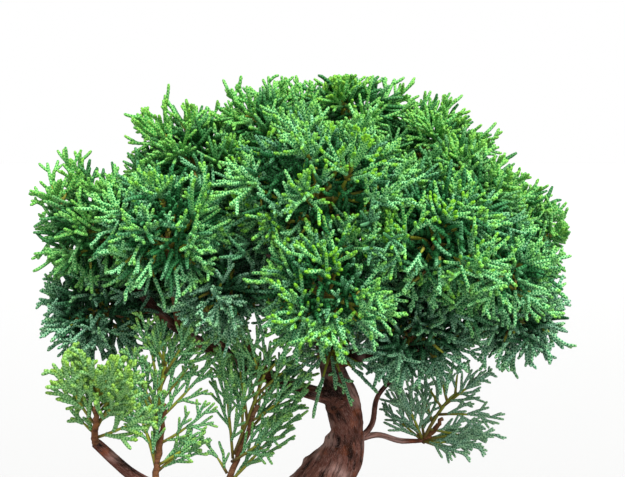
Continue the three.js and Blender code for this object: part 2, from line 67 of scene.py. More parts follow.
# name: points, and the radius at both ends
LIMBS = {
    "low_left": ([(-9, -3, 61), (-30, -10, 70), (-52, -17, 82), (-65, -24, 96)], 3.6, 1.7),
    "left": ([(12, 1, 104), (-3, -2, 109), (-22, -5, 118), (-43, -4, 130), (-56, -2, 143)], 2.6, 1.4),
    "right": ([(9, 1, 116), (27, -2, 122), (45, 1, 124), (58, 2, 132)], 2.4, 1.3),
    "low_right": ([(15, 2, 90), (24, 7, 91), (32, 11, 88), (40, 15, 87)], 1.3, 0.8),
    "low_right_riser": ([(16, 2, 89), (22, 4, 95), (24, 6, 104), (31, 7, 112), (38, 5, 121)], 1.2, 0.7),
    "front": ([(8, 3, 126), (7, -12, 134), (7, -27, 144)], 2.8, 1.5),
    "upper_left": ([(7, 6, 142), (-10, 4, 152), (-26, 0, 164)], 2.6, 1.4),
    "upper_right": ([(8, 9, 148), (24, 6, 157), (42, 0, 165)], 2.6, 1.4),
    "back": ([(8, 6, 134), (4, 22, 140), (0, 33, 147)], 2.6, 1.4),
    "apex": ([(12, 12, 170), (15, 14, 184)], 2.3, 1.3),
}

# each root's heading in degrees, reach and radius, the place that all start from, and their heights and
# girths along the reach
ROOTS = [(8, 31, 4.6), (70, 25, 3.8), (128, 27, 4.4), (196, 24, 4.8), (251, 28, 4.2), (314, 30, 3.9)]
ROOT_FOOT = (-20, 0)
ROOT_STATIONS = [(0.1, 52), (0.45, 45.5), (0.75, 41.5), (1, 35)]
ROOT_GIRTHS = (1.5, 1.15, 0.8, 0.4)

TWIG_RADII = (1.25, 0.7)

# name: centre, radii, limb, where on the limb its twig leaves, share of young lime tips, style
CLUMPS = {
    "front_dome": ((4, -32, 176), (26, 21, 19), "front", 1.0, 0.9, "dense"),
    "front_apron": ((6, -43, 147), (18, 17, 17), "front", 0.9, 1.0, "dense"),
    "left_front": ((-42, -26, 163), (20, 18, 17), "left", 0.72, 0.6, "dense"),
    "left_front_low": ((-24, -22, 146), (15, 14, 13), "left", 0.4, 0.2, "dense"),
    "right_front": ((40, -32, 162), (20, 18, 17), "upper_right", 0.7, 0.9, "dense"),
    "right_front_low": ((59, -20, 152), (18, 17, 14), "right", 0.85, 0.6, "dense"),
    "right_shoulder": ((48, -13, 174), (18, 17, 15), "upper_right", 1.0, 0.5, "dense"),
    "right_low": ((34, -13, 130), (17, 15, 15), "right", 0.4, 0.15, "dense"),
    "right_edge_low": ((67, -10, 134), (15, 15, 12), "right", 0.9, 0.3, "dense"),
    "low_left_tip": ((-63, -34, 112), (17, 14, 16), "low_left", 1.0, 0.8, "plume"),
    "low_left_fan": ((-44, -20, 111), (20, 14, 25), "low_left", 0.6, 0.6, "open"),
    "low_middle_fan": ((-15, -13, 109), (20, 13, 24), "low_left", 0.33, 0.5, "open"),
    "low_right_spray": ((47, 17, 97), (22, 14, 19), "low_right", 1.0, 0.2, "open"),
    "left_shoulder": ((-35, -4, 183), (19, 18, 15), "upper_left", 1.0, 0.5, "dense"),
    "left_side": ((-65, -6, 162), (20, 20, 17), "left", 1.0, 0.4, "dense"),
    "left_side_low": ((-67, 0, 135), (18, 19, 14), "left", 0.85, 0.1, "dense"),
    "top_left": ((-12, 4, 192), (17, 16, 13), "upper_left", 0.6, 0.4, "dense"),
    "top": ((14, 16, 197), (18, 17, 14), "apex", 1.0, 0.6, "dense"),
    "top_right": ((42, 16, 186), (19, 18, 15), "apex", 0.6, 0.5, "dense"),
    "right_side": ((68, 9, 160), (18, 19, 16), "right", 1.0, 0.5, "dense"),
    "right_tip": ((71, 18, 137), (15, 15, 13), "right", 0.95, 0.3, "dense"),
    "inner_low": ((12, 14, 124), (16, 14, 11), "right", 0.12, 0.0, "open"),
    "back_top": ((0, 34, 184), (20, 18, 15), "apex", 0.3, 0.5, "dense"),
    "back_left_high": ((-37, 26, 170), (20, 19, 16), "upper_left", 0.9, 0.5, "dense"),
    "back_left_side": ((-62, 26, 148), (18, 18, 16), "left", 0.8, 0.4, "dense"),
    "back_middle": ((-8, 43, 158), (20, 17, 17), "back", 1.0, 0.6, "dense"),
    "back_right_high": ((31, 38, 172), (20, 18, 16), "upper_right", 0.5, 0.5, "dense"),
    "back_right_side": ((57, 34, 152), (19, 18, 16), "right", 0.75, 0.5, "dense"),
    "back_left_low": ((-37, 38, 133), (19, 17, 14), "left", 0.5, 0.3, "dense"),
    "back_middle_low": ((2, 43, 131), (18, 15, 12), "back", 0.8, 0.3, "dense"),
    "back_right_low": ((37, 40, 133), (18, 17, 13), "right", 0.45, 0.3, "dense"),
}
CANOPY_MIDDLE = np.array((0.0, 0.0, 150.0))

POT = {
    "length": 137, "width": 102, "height": 45, "corner": 9, "wall": 5, "floor": 6, "rim_bottom": 38.5,
    "overhang": 2.2, "taper": 9, "foot_length": 26, "foot_width": 16, "foot_height": 6, "foot_inset": 1,
    "drain_offset": 27, "bevel": 1.5, "bevel_height": 2, "slope": 1.5, "edge": 0.8,
}
SOIL = {"edge": 40.5, "mound": 3.6, "bottom": 13.95, "gap": 0.35}

# ---------- small tools ----------


def unit(v):
    return v / np.maximum(np.linalg.norm(v, axis=-1, keepdims=True), 1e-9)


def in_scene(name, data):
    """An object of a mesh, a camera or a light."""
    obj = bpy.data.objects.new(name, data)
    bpy.context.scene.collection.objects.link(obj)
    return obj


def mesh_object(name, points, faces, smooth=True):
    """A mesh of quads or of triangles from arrays in millimetres."""
    mesh = bpy.data.meshes.new(name)
    faces = np.asarray(faces, dtype=np.int32)
    count, sides = faces.shape
    mesh.vertices.add(len(points))
    mesh.vertices.foreach_set("co", (np.asarray(points, dtype=np.float32) * MM).ravel())
    mesh.loops.add(faces.size)
    mesh.loops.foreach_set("vertex_index", faces.ravel())
    mesh.polygons.add(count)
    mesh.polygons.foreach_set("loop_start", np.arange(count, dtype=np.int32) * sides)
    mesh.polygons.foreach_set("loop_total", np.full(count, sides, dtype=np.int32))
    mesh.update(calc_edges=True)
    mesh.polygons.foreach_set("use_smooth", np.full(count, smooth, dtype=bool))
    return in_scene(name, mesh)


def attribute(obj, name, kind, field, values):
    layer = obj.data.attributes.new(name, kind, "POINT")
    layer.data.foreach_set(field, np.asarray(values, dtype=np.float32).ravel())


def hand_over(piece, material, slot, *nodes):
    """A finished piece: its material, its body and the solids that it stands for; the slot is not used."""
    piece.data.materials.clear()
    piece.data.materials.append(material)
    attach(piece, "root")
    if nodes:
        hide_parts(*nodes)


def catmull_rom(points, per_span):
    """The centripetal curve through the points, as a dense polyline."""
    p = np.asarray(points, dtype=float)
    p = np.vstack([2 * p[0] - p[1], p, 2 * p[-1] - p[-2]])
    a = np.linspace(0, 1, per_span, endpoint=False)[:, None]
    h00, h10 = 2 * a**3 - 3 * a**2 + 1, a**3 - 2 * a**2 + a
    h01, h11 = -2 * a**3 + 3 * a**2, a**3 - a**2
    out = []
    for i in range(1, len(p) - 2):
        d0, d1, d2 = (math.sqrt(np.linalg.norm(p[j + 1] - p[j])) for j in (i - 1, i, i + 1))
        t1 = (p[i] - p[i - 1]) / d0 - (p[i + 1] - p[i - 1]) / (d0 + d1) + (p[i + 1] - p[i]) / d1
        t2 = (p[i + 1] - p[i]) / d1 - (p[i + 2] - p[i]) / (d1 + d2) + (p[i + 2] - p[i + 1]) / d2
        out.append(h00 * p[i] + h10 * t1 * d1 + h01 * p[i + 1] + h11 * t2 * d1)
    out.append(p[-2:-1])
    return np.vstack(out)


def lengths_along(path):
    """How far along the path each of its points is."""
    gaps = np.linalg.norm(np.diff(np.asarray(path, dtype=float), axis=0), axis=1)
    return np.concatenate([[0], np.cumsum(gaps)])


def frames_along(path):
    """Tangents and two normals that turn as little as possible along the path."""
    tangents = unit(np.gradient(path, axis=0))
    normal = np.cross(tangents[0], (0.0, 0.0, 1.0))
    if np.linalg.norm(normal) < 0.1:
        normal = np.cross(tangents[0], (1.0, 0.0, 0.0))
    normals = []
    for tangent in tangents:
        normal = unit(normal - tangent * (normal @ tangent))
        normals.append(normal)
    normals = np.array(normals)
    return tangents, normals, np.cross(tangents, normals)


def rings_round(path, radii, normals, binormals, sides):
    """Rings of points round a path or round many paths, on the frames given."""
    angle = np.arange(sides) * TURN / sides
    ring = np.cos(angle)[:, None] * normals[..., None, :] + np.sin(angle)[:, None] * binormals[..., None, :]
    return path[..., None, :] + ring * radii[..., None]


def sweep(path, radii, sides):
    """A closed tube along a path: points and quads. sides is even."""
    _, normals, binormals = frames_along(path)
    points = rings_round(path, np.asarray(radii)[:, None], normals, binormals, sides)
    return points.reshape(-1, 3), tube_quads(len(path), sides)


def tube_quads(rings, sides):
    """Walls between the rings, and a cap of quads at both ends."""
    side = np.arange(sides)
    after = (side + 1) % sides
    base = np.arange(rings - 1)[:, None] * sides
    walls = np.stack([base + side, base + after, base + sides + after, base + sides + side], axis=-1)
    cap = np.array([(0, k, k + 1, k + 2) for k in range(1, sides - 2, 2)])
    return np.vstack([walls.reshape(-1, 4), cap[:, ::-1], cap + (rings - 1) * sides])


def joined(parts):
    """One set of arrays from several: points, faces numbered from their own set's start, and others."""
    start = 0
    sets = []
    for points, faces, *others in parts:
        sets.append((points, faces + start, *others))
        start += len(points)
    return tuple(np.vstack(arrays) for arrays in zip(*sets))


def lattice_noise(p, seed):
    """Smooth noise from 0 to 1 at the points p, whose unit is one cell."""
    cell = np.floor(p).astype(np.int64)
    f = p - cell
    f = f * f * (3 - 2 * f)
    total = 0.0
    for corner in range(8):
        step = np.array([(corner >> k) & 1 for k in range(3)])
        c = cell + step
        h = ((c * NOISE_FACTORS).sum(axis=1) + seed * 1274126177) & 0xFFFFFFFF
        h = ((h ^ (h >> 13)) * 1103515245) & 0xFFFFFFFF
        h = ((h ^ (h >> 16)) * 2246822519) & 0xFFFFFFFF
        weight = np.prod(np.where(step, f, 1 - f), axis=1)
        total = total + weight * ((h ^ (h >> 15)) & 0xFFFF) / 65535.0
    return total


# ---------- materials ----------


def colour(red, green, blue):
    """A colour given as it looks on screen, 0 to 255."""

    def linear(c):
        c /= 255
        return c / 12.92 if c <= 0.04045 else ((c + 0.055) / 1.055) ** 2.4

    return (linear(red), linear(green), linear(blue), 1.0)


class Nodes:
    """A short way to write a node tree. A colour of three numbers is as it looks on screen, 0 to 255."""

    def __init__(self, name):
        self.material = bpy.data.materials.new(name)
        self.material.use_nodes = True
        self.tree = self.material.node_tree
        self.shader = self.tree.nodes["Principled BSDF"]

    def put(self, socket, value):
        if isinstance(value, bpy.types.NodeSocket):
            self.tree.links.new(value, socket)
        elif socket.type == "RGBA" and len(value) == 3:
            socket.default_value = colour(*value)
        else:
            socket.default_value = value

    def node(self, kind, inputs=(), **settings):
        node = self.tree.nodes.new(kind)
        for key, value in settings.items():
            setattr(node, key, value)
        for key, value in dict(inputs).items():
            self.put(node.inputs[key], value)
        return node

    def math(self, operation, a, b=0.0, clamp=False):
        return self.node("ShaderNodeMath", {0: a, 1: b}, operation=operation, use_clamp=clamp).outputs[0]

    def mix(self, share, a, b, blend="MIX"):
        inputs = {0: share, 6: a, 7: b}
        return self.node("ShaderNodeMix", inputs, data_type="RGBA", blend_type=blend).outputs[2]

    def ramp(self, value, low, high):
        return self.node("ShaderNodeMapRange", {0: value, 1: low, 2: high}).outputs[0]

    def layers(self, base, *rows):
        """Colours laid over the base in turn: each as its value goes from low to high, up to its amount."""
        for value, low, high, amount, paint in rows:
            base = self.mix(self.math("MULTIPLY", self.ramp(value, low, high), amount), base, paint)
        return base

    def place(self):
        return self.node("ShaderNodeTexCoord").outputs["Object"]

    def attribute(self, name, output):
        return self.node("ShaderNodeAttribute", attribute_name=name).outputs[output]

    def growth(self):
        """The red, green and blue of the growth attribute."""
        return self.node("ShaderNodeSeparateColor", {0: self.attribute("growth", "Color")}).outputs

    def noise(self, scale, detail=4.0, stretch=(1, 1, 1), roughness=0.55, place=None):
        place = self.place() if place is None else place
        mapping = self.node("ShaderNodeMapping", {"Vector": place, "Scale": stretch})
        inputs = {"Vector": mapping.outputs[0], "Scale": scale, "Detail": detail, "Roughness": roughness}
        return self.node("ShaderNodeTexNoise", inputs).outputs["Fac"]

    def surface(self, base, roughness, specular=0.5, bump=None):
        """The material, with its bump given as strength, distance and height."""
        for name, value in (("Base Color", base), ("Roughness", roughness), ("Specular IOR Level", specular)):
            self.put(self.shader.inputs[name], value)
        if bump:
            node = self.node("ShaderNodeBump", dict(zip(("Strength", "Distance", "Height"), bump)))
            self.put(self.shader.inputs["Normal"], node.outputs[0])
        return self.material


# leaf colours: the heart and the net of a live scale, of an old one and of a young tip, and the painted shade
# that the deepest growth is dimmed by. "side" and "far" are lighter copies: painted light on the clumps at
# the sides and behind. The paler, greyer net of "low" is partly the waxy grey of low growth and partly
# painted light in the shade under the crown
PALETTES = {
    "front": (
        ((0, 106, 52), (150, 212, 142)), ((12, 84, 56), (132, 182, 156)),
        ((76, 134, 10), (116, 178, 40)), (0.1, 0.34, 0.13),
    ),
    "side": (
        ((6, 114, 52), (150, 214, 140)), ((18, 92, 58), (134, 184, 154)),
        ((80, 140, 10), (122, 184, 44)), (0.16, 0.44, 0.2),
    ),
    "low": (
        ((8, 98, 54), (138, 190, 148)), ((24, 86, 62), (154, 188, 172)),
        ((82, 126, 24), (120, 168, 62)), (0.12, 0.3, 0.15),
    ),
    "far": (
        ((36, 128, 46), (128, 188, 106)), ((26, 92, 48), (116, 162, 116)),
        ((90, 142, 22), (128, 182, 56)), (0.2, 0.5, 0.24),
    ),
    "fan": (
        ((44, 112, 64), (132, 186, 132)), ((44, 90, 60), (116, 154, 126)),
        ((100, 142, 30), (138, 182, 70)), (0.3, 0.5, 0.34),
    ),
    "grey": (
        ((68, 118, 90), (140, 178, 152)), ((74, 112, 88), (140, 170, 150)),
        ((96, 138, 70), (150, 186, 120)), (0.3, 0.5, 0.34),
    ),
    "plume": (
        ((62, 118, 58), (138, 184, 126)), ((60, 98, 56), (110, 150, 104)),
        ((92, 134, 28), (134, 174, 66)), (0.3, 0.5, 0.3),
    ),
}


def palette_of(name):
    """Clumps under the others are greyer and paler: partly the grey of low growth, partly painted light in
    the shade under the crown. Those behind them are paler and less marked, and those at the sides lighter:
    painted light on both.
    """
    (aside, depth, _), _, _, _, lime, style = CLUMPS[name]
    if style == "plume":
        return "plume"
    if style == "open":
        return "fan" if aside < 0 else "grey"
    if lime <= 0.3:
        return "low"
    if depth > -15:
        return "far"
    return "side" if abs(aside) > 30 else "front"


def foliage_material(name, live, old, young, dim):
    """Scale leaves: a dark heart in each, a pale net between them, lime at the growing tips."""
    n = Nodes(name)
    uv = n.node("ShaderNodeUVMap", uv_map="scales").outputs[0]
    u, v, _ = n.node("ShaderNodeSeparateXYZ", {0: uv}).outputs
    tip, age, tone = n.growth()
    lime = n.attribute("growth", "Alpha")

    def lines(operation):
        half = n.math("FRACT", n.math("MULTIPLY", n.math(operation, u, v), 0.5))
        return n.math("MULTIPLY", n.math("ABSOLUTE", n.math("SUBTRACT", half, 0.5)), 2.0)

    edge = n.math("MINIMUM", lines("ADD"), lines("SUBTRACT"))
    pale = n.ramp(edge, 0.44, 0.14)
    (heart, net), (old_heart, old_net), (young_heart, young_net) = live, old, young
    fresh_net = n.mix(n.math("MULTIPLY", tone, 0.5), net, young_net)
    # age brings in the old colours and, from 0.52 on, the dim colour; besides real age it holds painted shade
    # deep in the clumps, in their hollows and on their undersides
    shade = n.mix(age, n.mix(pale, heart, fresh_net), n.mix(pale, old_heart, old_net))
    green = n.math("MULTIPLY", tip, lime, clamp=True)
    shade = n.mix(green, shade, n.mix(pale, young_heart, young_net))
    shade = n.mix(n.ramp(age, 0.52, 0.95), shade, (*dim, 1.0), "MULTIPLY")
    return n.surface(shade, 0.55, 0.2, (0.5, 0.0001, edge))


def bark_material(name, ridge, crack_and_shade, pale, warm):
    """Fibrous bark: "grain" holds the place along and around the wood, in millimetres."""
    n = Nodes(name)
    grain = n.attribute("grain", "Vector")
    strips = n.noise(1.1, 5, (0.12, 1, 1), 0.6, grain)
    hairs = n.noise(4.5, 3, (0.2, 1, 1), 0.6, grain)
    patches = n.noise(95, 2)
    # the dark crack colour lies in the low strips and, on the trunk, where the relief is low: painted shade
    # in the furrows. The pale on the raised fibres is partly a painted highlight.
    base = n.layers(
        n.mix(n.ramp(n.attribute("bark", "Fac"), 0.06, 0.55), crack_and_shade, ridge),
        (patches, 0.48, 0.62, 0.75, pale),
        (n.noise(210, 3), 0.52, 0.72, 0.45, warm),
        (strips, 0.5, 0.36, 0.75, crack_and_shade),
        (hairs, 0.5, 0.72, 0.4, pale),
        (patches, 0.4, 0.3, 0.7, crack_and_shade),
    )
    relief = n.math("ADD", strips, n.math("MULTIPLY", hairs, 0.5))
    return n.surface(base, 0.9, 0.08, (0.9, 0.0006, relief))


def stem_material(name, green, brown):
    """Bare shoots: brown at the root and greener along them, by a tone of their own."""
    n = Nodes(name)
    along, _, tone = n.growth()
    share = n.math("ADD", along, n.math("MULTIPLY", tone, 0.4), clamp=True)
    base = n.layers(n.mix(share, brown, green), (n.noise(1500, 3), 0.45, 0.7, 0.5, brown))
    return n.surface(base, 0.6, 0.3)


def pot_material(name):
    """Unglazed stoneware: dark brown clay with iron specks, browner and drier towards the foot."""
    n = Nodes(name)
    height = n.node("ShaderNodeSeparateXYZ", {0: n.place()}).outputs[2]
    cloud = n.noise(28, 5)
    throwing = n.noise(60, 3, (0.25, 0.25, 4.0))
    grit = n.noise(1100, 4, roughness=0.7)
    base = n.layers(
        n.mix(n.ramp(cloud, 0.35, 0.65), (70, 46, 36), (98, 66, 50)),
        (throwing, 0.45, 0.7, 0.35, (58, 38, 32)),
        (height, 0.012, 0.0, 0.5, (118, 90, 72)),
        (height, 0.0435, 0.045, 0.35, (126, 94, 74)),
        (n.noise(2600, 2), 0.66, 0.72, 0.8, (28, 18, 16)),
        (grit, 0.62, 0.75, 0.3, (146, 116, 92)),
    )
    relief = n.math("ADD", n.math("MULTIPLY", throwing, 0.6), n.math("MULTIPLY", grit, 0.25))
    return n.surface(base, n.ramp(cloud, 0.2, 1.1), 0.35, (0.5, 0.0005, relief))


def soil_material(name):
    """Each grain is fired clay, lava or pumice by its own number."""
    n = Nodes(name)
    ramp = n.node("ShaderNodeValToRGB", {0: n.attribute("grain", "Fac")})
    stops = [(0.0, (120, 78, 50)), (0.3, (92, 58, 40)), (0.52, (66, 42, 32)), (0.56, (44, 34, 32))]
    stops += [(0.8, (58, 40, 36)), (0.86, (132, 120, 104)), (1.0, (100, 88, 74))]
    for _ in stops[2:]:
        ramp.color_ramp.elements.new(0.5)
    for element, (place, tone) in zip(ramp.color_ramp.elements, stops):
        element.position = place
        element.color = colour(*tone)
    pores = n.noise(1900, 4, roughness=0.7)
    base = n.layers(
        ramp.outputs[0],
        (pores, 0.55, 0.4, 0.6, (30, 22, 18)),
        (n.noise(70, 3), 0.5, 0.65, 0.45, (42, 30, 24)),
    )
    return n.surface(base, 0.95, 0.15, (0.8, 0.0004, pores))


def moss_material(name):
    n = Nodes(name)
    along, tone, _ = n.growth()
    base = n.mix(along, (30, 44, 14), (74, 98, 28))
    base = n.mix(n.math("MULTIPLY", tone, 0.5), base, (116, 128, 44))
    base = n.layers(base, (n.noise(160, 2), 0.5, 0.68, 0.5, (92, 82, 38)))
    return n.surface(base, 0.8, 0.2)


def screen_material(name):
    n = Nodes(name)
    scuffs = n.noise(700, 5, roughness=0.65)
    base = n.mix(n.ramp(scuffs, 0.45, 0.7), (26, 26, 27), (58, 57, 55))
    return n.surface(base, 0.5, bump=(0.3, 0.0002, scuffs))


# ---------- foliage ----------

# a leafy cord has scale leaves in four rows, one pair to each step along it
SCALE_STEP = 0.52

# sides, distance between rings and relief: of the cords in sight, of those inside and of bare stems
OUTER = (8, 0.8, 0.12)
INNER = (6, SCALE_STEP * 4, 0.0)
BARE = (6, 3.8, 0.0)

# how far inside the solids' box a cord's middle line stays, which is about a cord's radius
EDGE_GAP = 0.6

# radii of the bare stems, and of the old growth inside a clump and in the hollows
SPRAY_STEM, TUFT_STEM, FAN_STEM, FOOT_STEM = 0.48, 0.6, 0.5, 0.62
INSIDE_CORD, HOLLOW_CORD = 0.66, 0.58

# a cord's tip is rounded over this many radii, and still young over about this length
ROUND_TIP = 1.15
YOUNG_TIP = 1.6

# painted shade deep in the foliage: a cord's age value, and with it the darkness of its colour, grows from
# this far out in a clump to this much further in
PAINTED_SHADE_FROM, PAINTED_SHADE_OVER = 0.93, 0.4

# the lift that young shoots have, and the turn from one spray of a tuft or one even direction to the next
RISE = np.array((0.0, 0.0, 0.3))
SPRAY_TURN = 2.4
GOLDEN_ANGLE = 2.39996

# tufts of a dense clump: their spacing, the sprays of each that go outwards, those that leave its node in
# all, and those from its stem further in
TUFT_SPACING = 17
OUTWARD_SPRAYS, TUFT_SPRAYS, STEM_SPRAYS = 5, 11, 2

# how much further the outward sprays of a straying tuft reach, and the share of such tufts
STRAY_REACH, STRAY_SHARE = 1.55, 0.4

# how far out of the neighbouring clumps a tuft, a spray's tip and a hanging spray have to be
TUFT_CLEAR, TIP_CLEAR, HANG_CLEAR = 0.72, 0.6, 1.0

# cords in sight: those whose tips are this far out and that are younger than this
SIGHT_FROM, SIGHT_AGE = 0.74, 0.6

# the hollows among the clumps: the crown as a whole, the part of it that is filled in all its hollows,
# the lowest fill at the left and at the right, and the space between two fills
CROWN = ((0, 0, 150), (78, 54, 52))
CROWN_MIDDLE = ((8, 2, 166), (52, 30, 24))
LOWEST_FILL = (132, 122)
FILL_SPACING = 5.6

# cords of old growth: for each fill, and inside a clump for each square millimetre of its mean radius
FILL_CORDS, INSIDE_CORDS = 5, 0.7

# directions in which a clump may hang a spray
HANGING_TRIES = 60

# the crown slopes down at its upper right: from where, and what the sprays there are drawn back to
SLOPE_FROM, SLOPE_SHARE = 30, 0.84

# how sprays grow: leafy length, step between side shoots, the longest side shoot, how much shorter they
# get towards the tip, their angle, how often they fork, length of the forks, radius
DENSE = {
    "leafy": (9, 13), "step": 3.2, "longest": 6.8, "taper": 0.25, "angle": (0.6, 0.95),
    "forked": 0.25, "fork": (2.6, 4.2), "radius": 0.59,
}
# the loose sprays that hang from the undersides
HANGING = {
    "leafy": (7, 10), "step": 3.4, "longest": 4.6, "taper": 0.3, "angle": (0.5, 0.85),
    "forked": 0.1, "fork": (2.2, 3.4), "radius": 0.58,
}
# flat fans: how many, the share of them that leave the bare twig below the clump, how far they spread,
# the step between side axes and the length of those as a share of the fan's, their angle, the step
# between the shoots on them and the length of those, how old they look, radius
FAN = {
    "fans": 14, "below": 0.26, "spread": 1.2, "step": 4.0, "side": 0.6, "angle": (0.42, 0.62),
    "shoot_step": 2.9, "shoot": 6.6, "age": 0.12, "radius": 0.5,
}
PLUME = {
    "fans": 20, "below": 0.1, "spread": 1.2, "step": 3.4, "side": 0.55, "angle": (0.4, 0.7),
    "shoot_step": 3.2, "shoot": 6.5, "age": 0.0, "radius": 0.68,
}
LOOSE_FAN = FAN | {"fans": 18, "spread": 2.1, "below": 0.5}
# where a fan's side axes begin and end along it, and how far out in the clump the fans' common foot is
FAN_FROM, FAN_TO = 0.16, 0.94
FAN_FOOT = 0.92
FAN_HABITS = {"low_left_tip": PLUME, "low_right_spray": LOOSE_FAN}

# sprays in front of the trunk's top, from just above the right limb: where their tips are
FRONT_TIPS = [
    (-10, -12, 114), (-3, -15, 110), (3, -17, 104), (9, -15, 111), (15, -17, 106), (23, -14, 109),
    (-6, -9, 121), (30, -10, 113), (19, -12, 117), (-13, -8, 118),
]
FRONT_ROOT = np.array((8.5, -0.5, 121.0))

clump_names = list(CLUMPS)
centres = np.array([clump[0] for clump in CLUMPS.values()], dtype=float)
radii = np.array([clump[1] for clump in CLUMPS.values()], dtype=float)
box_low, box_high = np.array(cad_box) / MM


def keep_in(point):
    """The point, or the nearest one inside the solids' box by the gap."""
    return np.clip(point, box_low + EDGE_GAP, box_high - EDGE_GAP)


def far_out(points, middle, size):
    """How far each point is from an ellipsoid's middle: 1 is on it."""
    return np.linalg.norm((points - middle) / size, axis=-1)


def shell(points):
    """How far out in the foliage each point lies: 0 in a clump's heart, 1 on the outside of all."""
    return far_out(points[:, None], centres, radii).min(axis=1)


def beside(point, clump):
    """How far outside the neighbouring clumps the point lies: below 1 is inside one."""
    return np.delete(far_out(point, centres, radii), clump).min()


def bezier(p0, p1, p2, t):
    return (1 - t) ** 2 * p0 + 2 * (1 - t) * t * p1 + t * t * p2


def bezier_way(p0, p1, p2, t):
    return unit(2 * (1 - t) * (p1 - p0) + 2 * t * (p2 - p1))


def bent(place, way, later, reach):
    """A cord's three control points: it starts out one way and goes on the other."""
    middle = place + way * reach * 0.5
    return place, middle, keep_in(middle + unit(later) * reach * 0.5)


def copies(faces, count, corners):
    """The same faces for each of so many copies, which have this many corners each."""
    return (faces + (np.arange(count) * corners)[:, None, None]).reshape(-1, faces.shape[1])


class Cords:
    """Cords to be made: three control points each, a radius and its growth values."""

    def __init__(self):
        self.rows = []

    def add(self, p0, p1, p2, radius, age, tone, lime):
        self.rows.append(np.concatenate([p0, p1, p2, (radius, age, tone, lime)]))

    def add_leafy(self, p0, p1, p2, radius, age, lime, rng):
        """A cord whose tip is either still young or already full grown."""
        share = rng.uniform(0.8, 1.2) if rng.uniform() < 0.8 else rng.uniform(0, 0.35)
        self.add(p0, p1, p2, radius, age, rng.uniform(), lime * share)

    # dark weighs the painted shade that deep places in the foliage get
    def arrays(self, pick_rows, kind, rng, dark=1.0, tips=True):
        """Points, quads, places on the net of scales and growth values of the rows picked."""
        sides, step, relief = kind
        rows = np.array(self.rows)[pick_rows]
        p0, p1, p2 = rows[:, 0:3], rows[:, 3:6], rows[:, 6:9]
        radius, age, tone, lime = rows[:, 9:].T
        length = np.linalg.norm(p1 - p0, axis=1) + np.linalg.norm(p2 - p1, axis=1)
        length = 0.5 * (length + np.linalg.norm(p2 - p0, axis=1))
        rings = np.maximum(np.round(length / step).astype(int), 2)
        aside = unit(np.cross(p2 - p0, rng.normal(size=p0.shape)))
        scale_rows = step / SCALE_STEP
        side = np.arange(sides)
        sets = []
        for n in np.unique(rings):
            pick = np.where(rings == n)[0]
            row = np.arange(n + 2).astype(float)
            row[-2:] = n - np.array([0.4, 0.12]) / scale_rows
            t = row / n
            curve = [q[pick][:, None] for q in (p0, p1, p2)]
            path = bezier(*curve, t[:, None])
            tangent = bezier_way(*curve, t[:, None])
            normal = unit(np.cross(tangent, aside[pick][:, None]))
            thick = radius[pick][:, None]
            left = (1 - t) * length[pick][:, None]
            blunt = np.sqrt(1 - (1 - np.clip(left / (ROUND_TIP * thick), 0, 1)) ** 2)
            size = thick * (1.02 - 0.14 * t) * blunt
            parity = (side * 4 // sides + np.round(row).astype(int)[:, None]) % 2
            bump = np.where(side % 2 == 0, np.where(parity == 0, 1.0, -1.0), 0.0) * relief
            reach = size[..., None] * (1 + bump)
            shape = rings_round(path, reach, normal, np.cross(tangent, normal), sides)
            quads = tube_quads(len(row), sides)
            u = (quads % sides).astype(float)
            wraps = np.ptp(u, axis=1) > sides / 2
            u[wraps] += np.where(u[wraps] < sides / 2, sides, 0)
            uv = np.stack([u * 4 / sides, row[quads // sides] * scale_rows], axis=-1).reshape(-1, 2)
            tip = np.clip(1.5 - left / YOUNG_TIP, 0, 1) if tips else np.broadcast_to(t, left.shape)
            # painted shade: the deeper a point lies in the foliage, the older and darker its colour
            deep = np.clip((PAINTED_SHADE_FROM - shell(path.reshape(-1, 3))) / PAINTED_SHADE_OVER, 0, 1) * dark
            aged_and_shaded = np.clip(age[pick][:, None] + deep.reshape(tip.shape), 0, 1)
            whole = [np.broadcast_to(k[pick][:, None], tip.shape) for k in (tone, lime)]
            growth = np.repeat(np.stack([tip, aged_and_shaded, *whole], axis=-1)[:, :, None], sides, axis=2)
            quads = copies(quads, len(pick), len(row) * sides)
            sets.append((shape.reshape(-1, 3), quads, np.tile(uv, (len(pick), 1)), growth.reshape(-1, 4)))
        return joined(sets)


def side_direction(tangent, roll, angle):
    """The direction at an angle off the tangent, rolled round it."""
    helper = (0.0, 0.0, 1.0) if abs(tangent[2]) < 0.9 else (1.0, 0.0, 0.0)
    normal = unit(np.cross(tangent, helper))
    binormal = np.cross(tangent, normal)
    out = math.cos(roll) * normal + math.sin(roll) * binormal
    return tangent * math.cos(angle) + out * math.sin(angle)


def across(direction, rng):
    """A chance direction at right angles to the one given."""
    return unit(np.cross(direction, rng.normal(size=3)))


def spread_directions(count, rng):
    """Evenly spread directions, a little disturbed."""
    i = np.arange(count)
    height = 1 - 2 * (i + 0.5) / count
    around = i * GOLDEN_ANGLE + rng.uniform(0, 6.28)
    level = np.sqrt(1 - height**2)
    even = np.stack([level * np.cos(around), level * np.sin(around), height], axis=1)
    return unit(even + rng.normal(size=even.shape) * 0.16)


def twig_curve(name):
    """The twig that carries a clump, from its limb into the clump."""
    centre, radius, limb, at, _, _ = CLUMPS[name]
    path = catmull_rom(LIMBS[limb][0], 24)
    start = path[int(round(at * (len(path) - 1)))]
    end = np.array(centre, dtype=float)
    end[2] -= radius[2] * 0.15
    middle = 0.5 * (start + end)
    middle[2] -= np.linalg.norm(end - start) * 0.1
    return start, middle, end


def half_bare(cords, stems, curve, bare, stem, radius, age, lime, rng):
    """A curve that is a stem over its bare share and a leafy cord beyond."""
    root, middle, tip = curve
    start = bezier(*curve, bare)
    stems.add(root, (1 - bare) * root + bare * middle, start, stem, 0.0, rng.uniform(), 0.0)
    cords.add_leafy(start, (1 - bare) * middle + bare * tip, tip, radius, age, lime, rng)


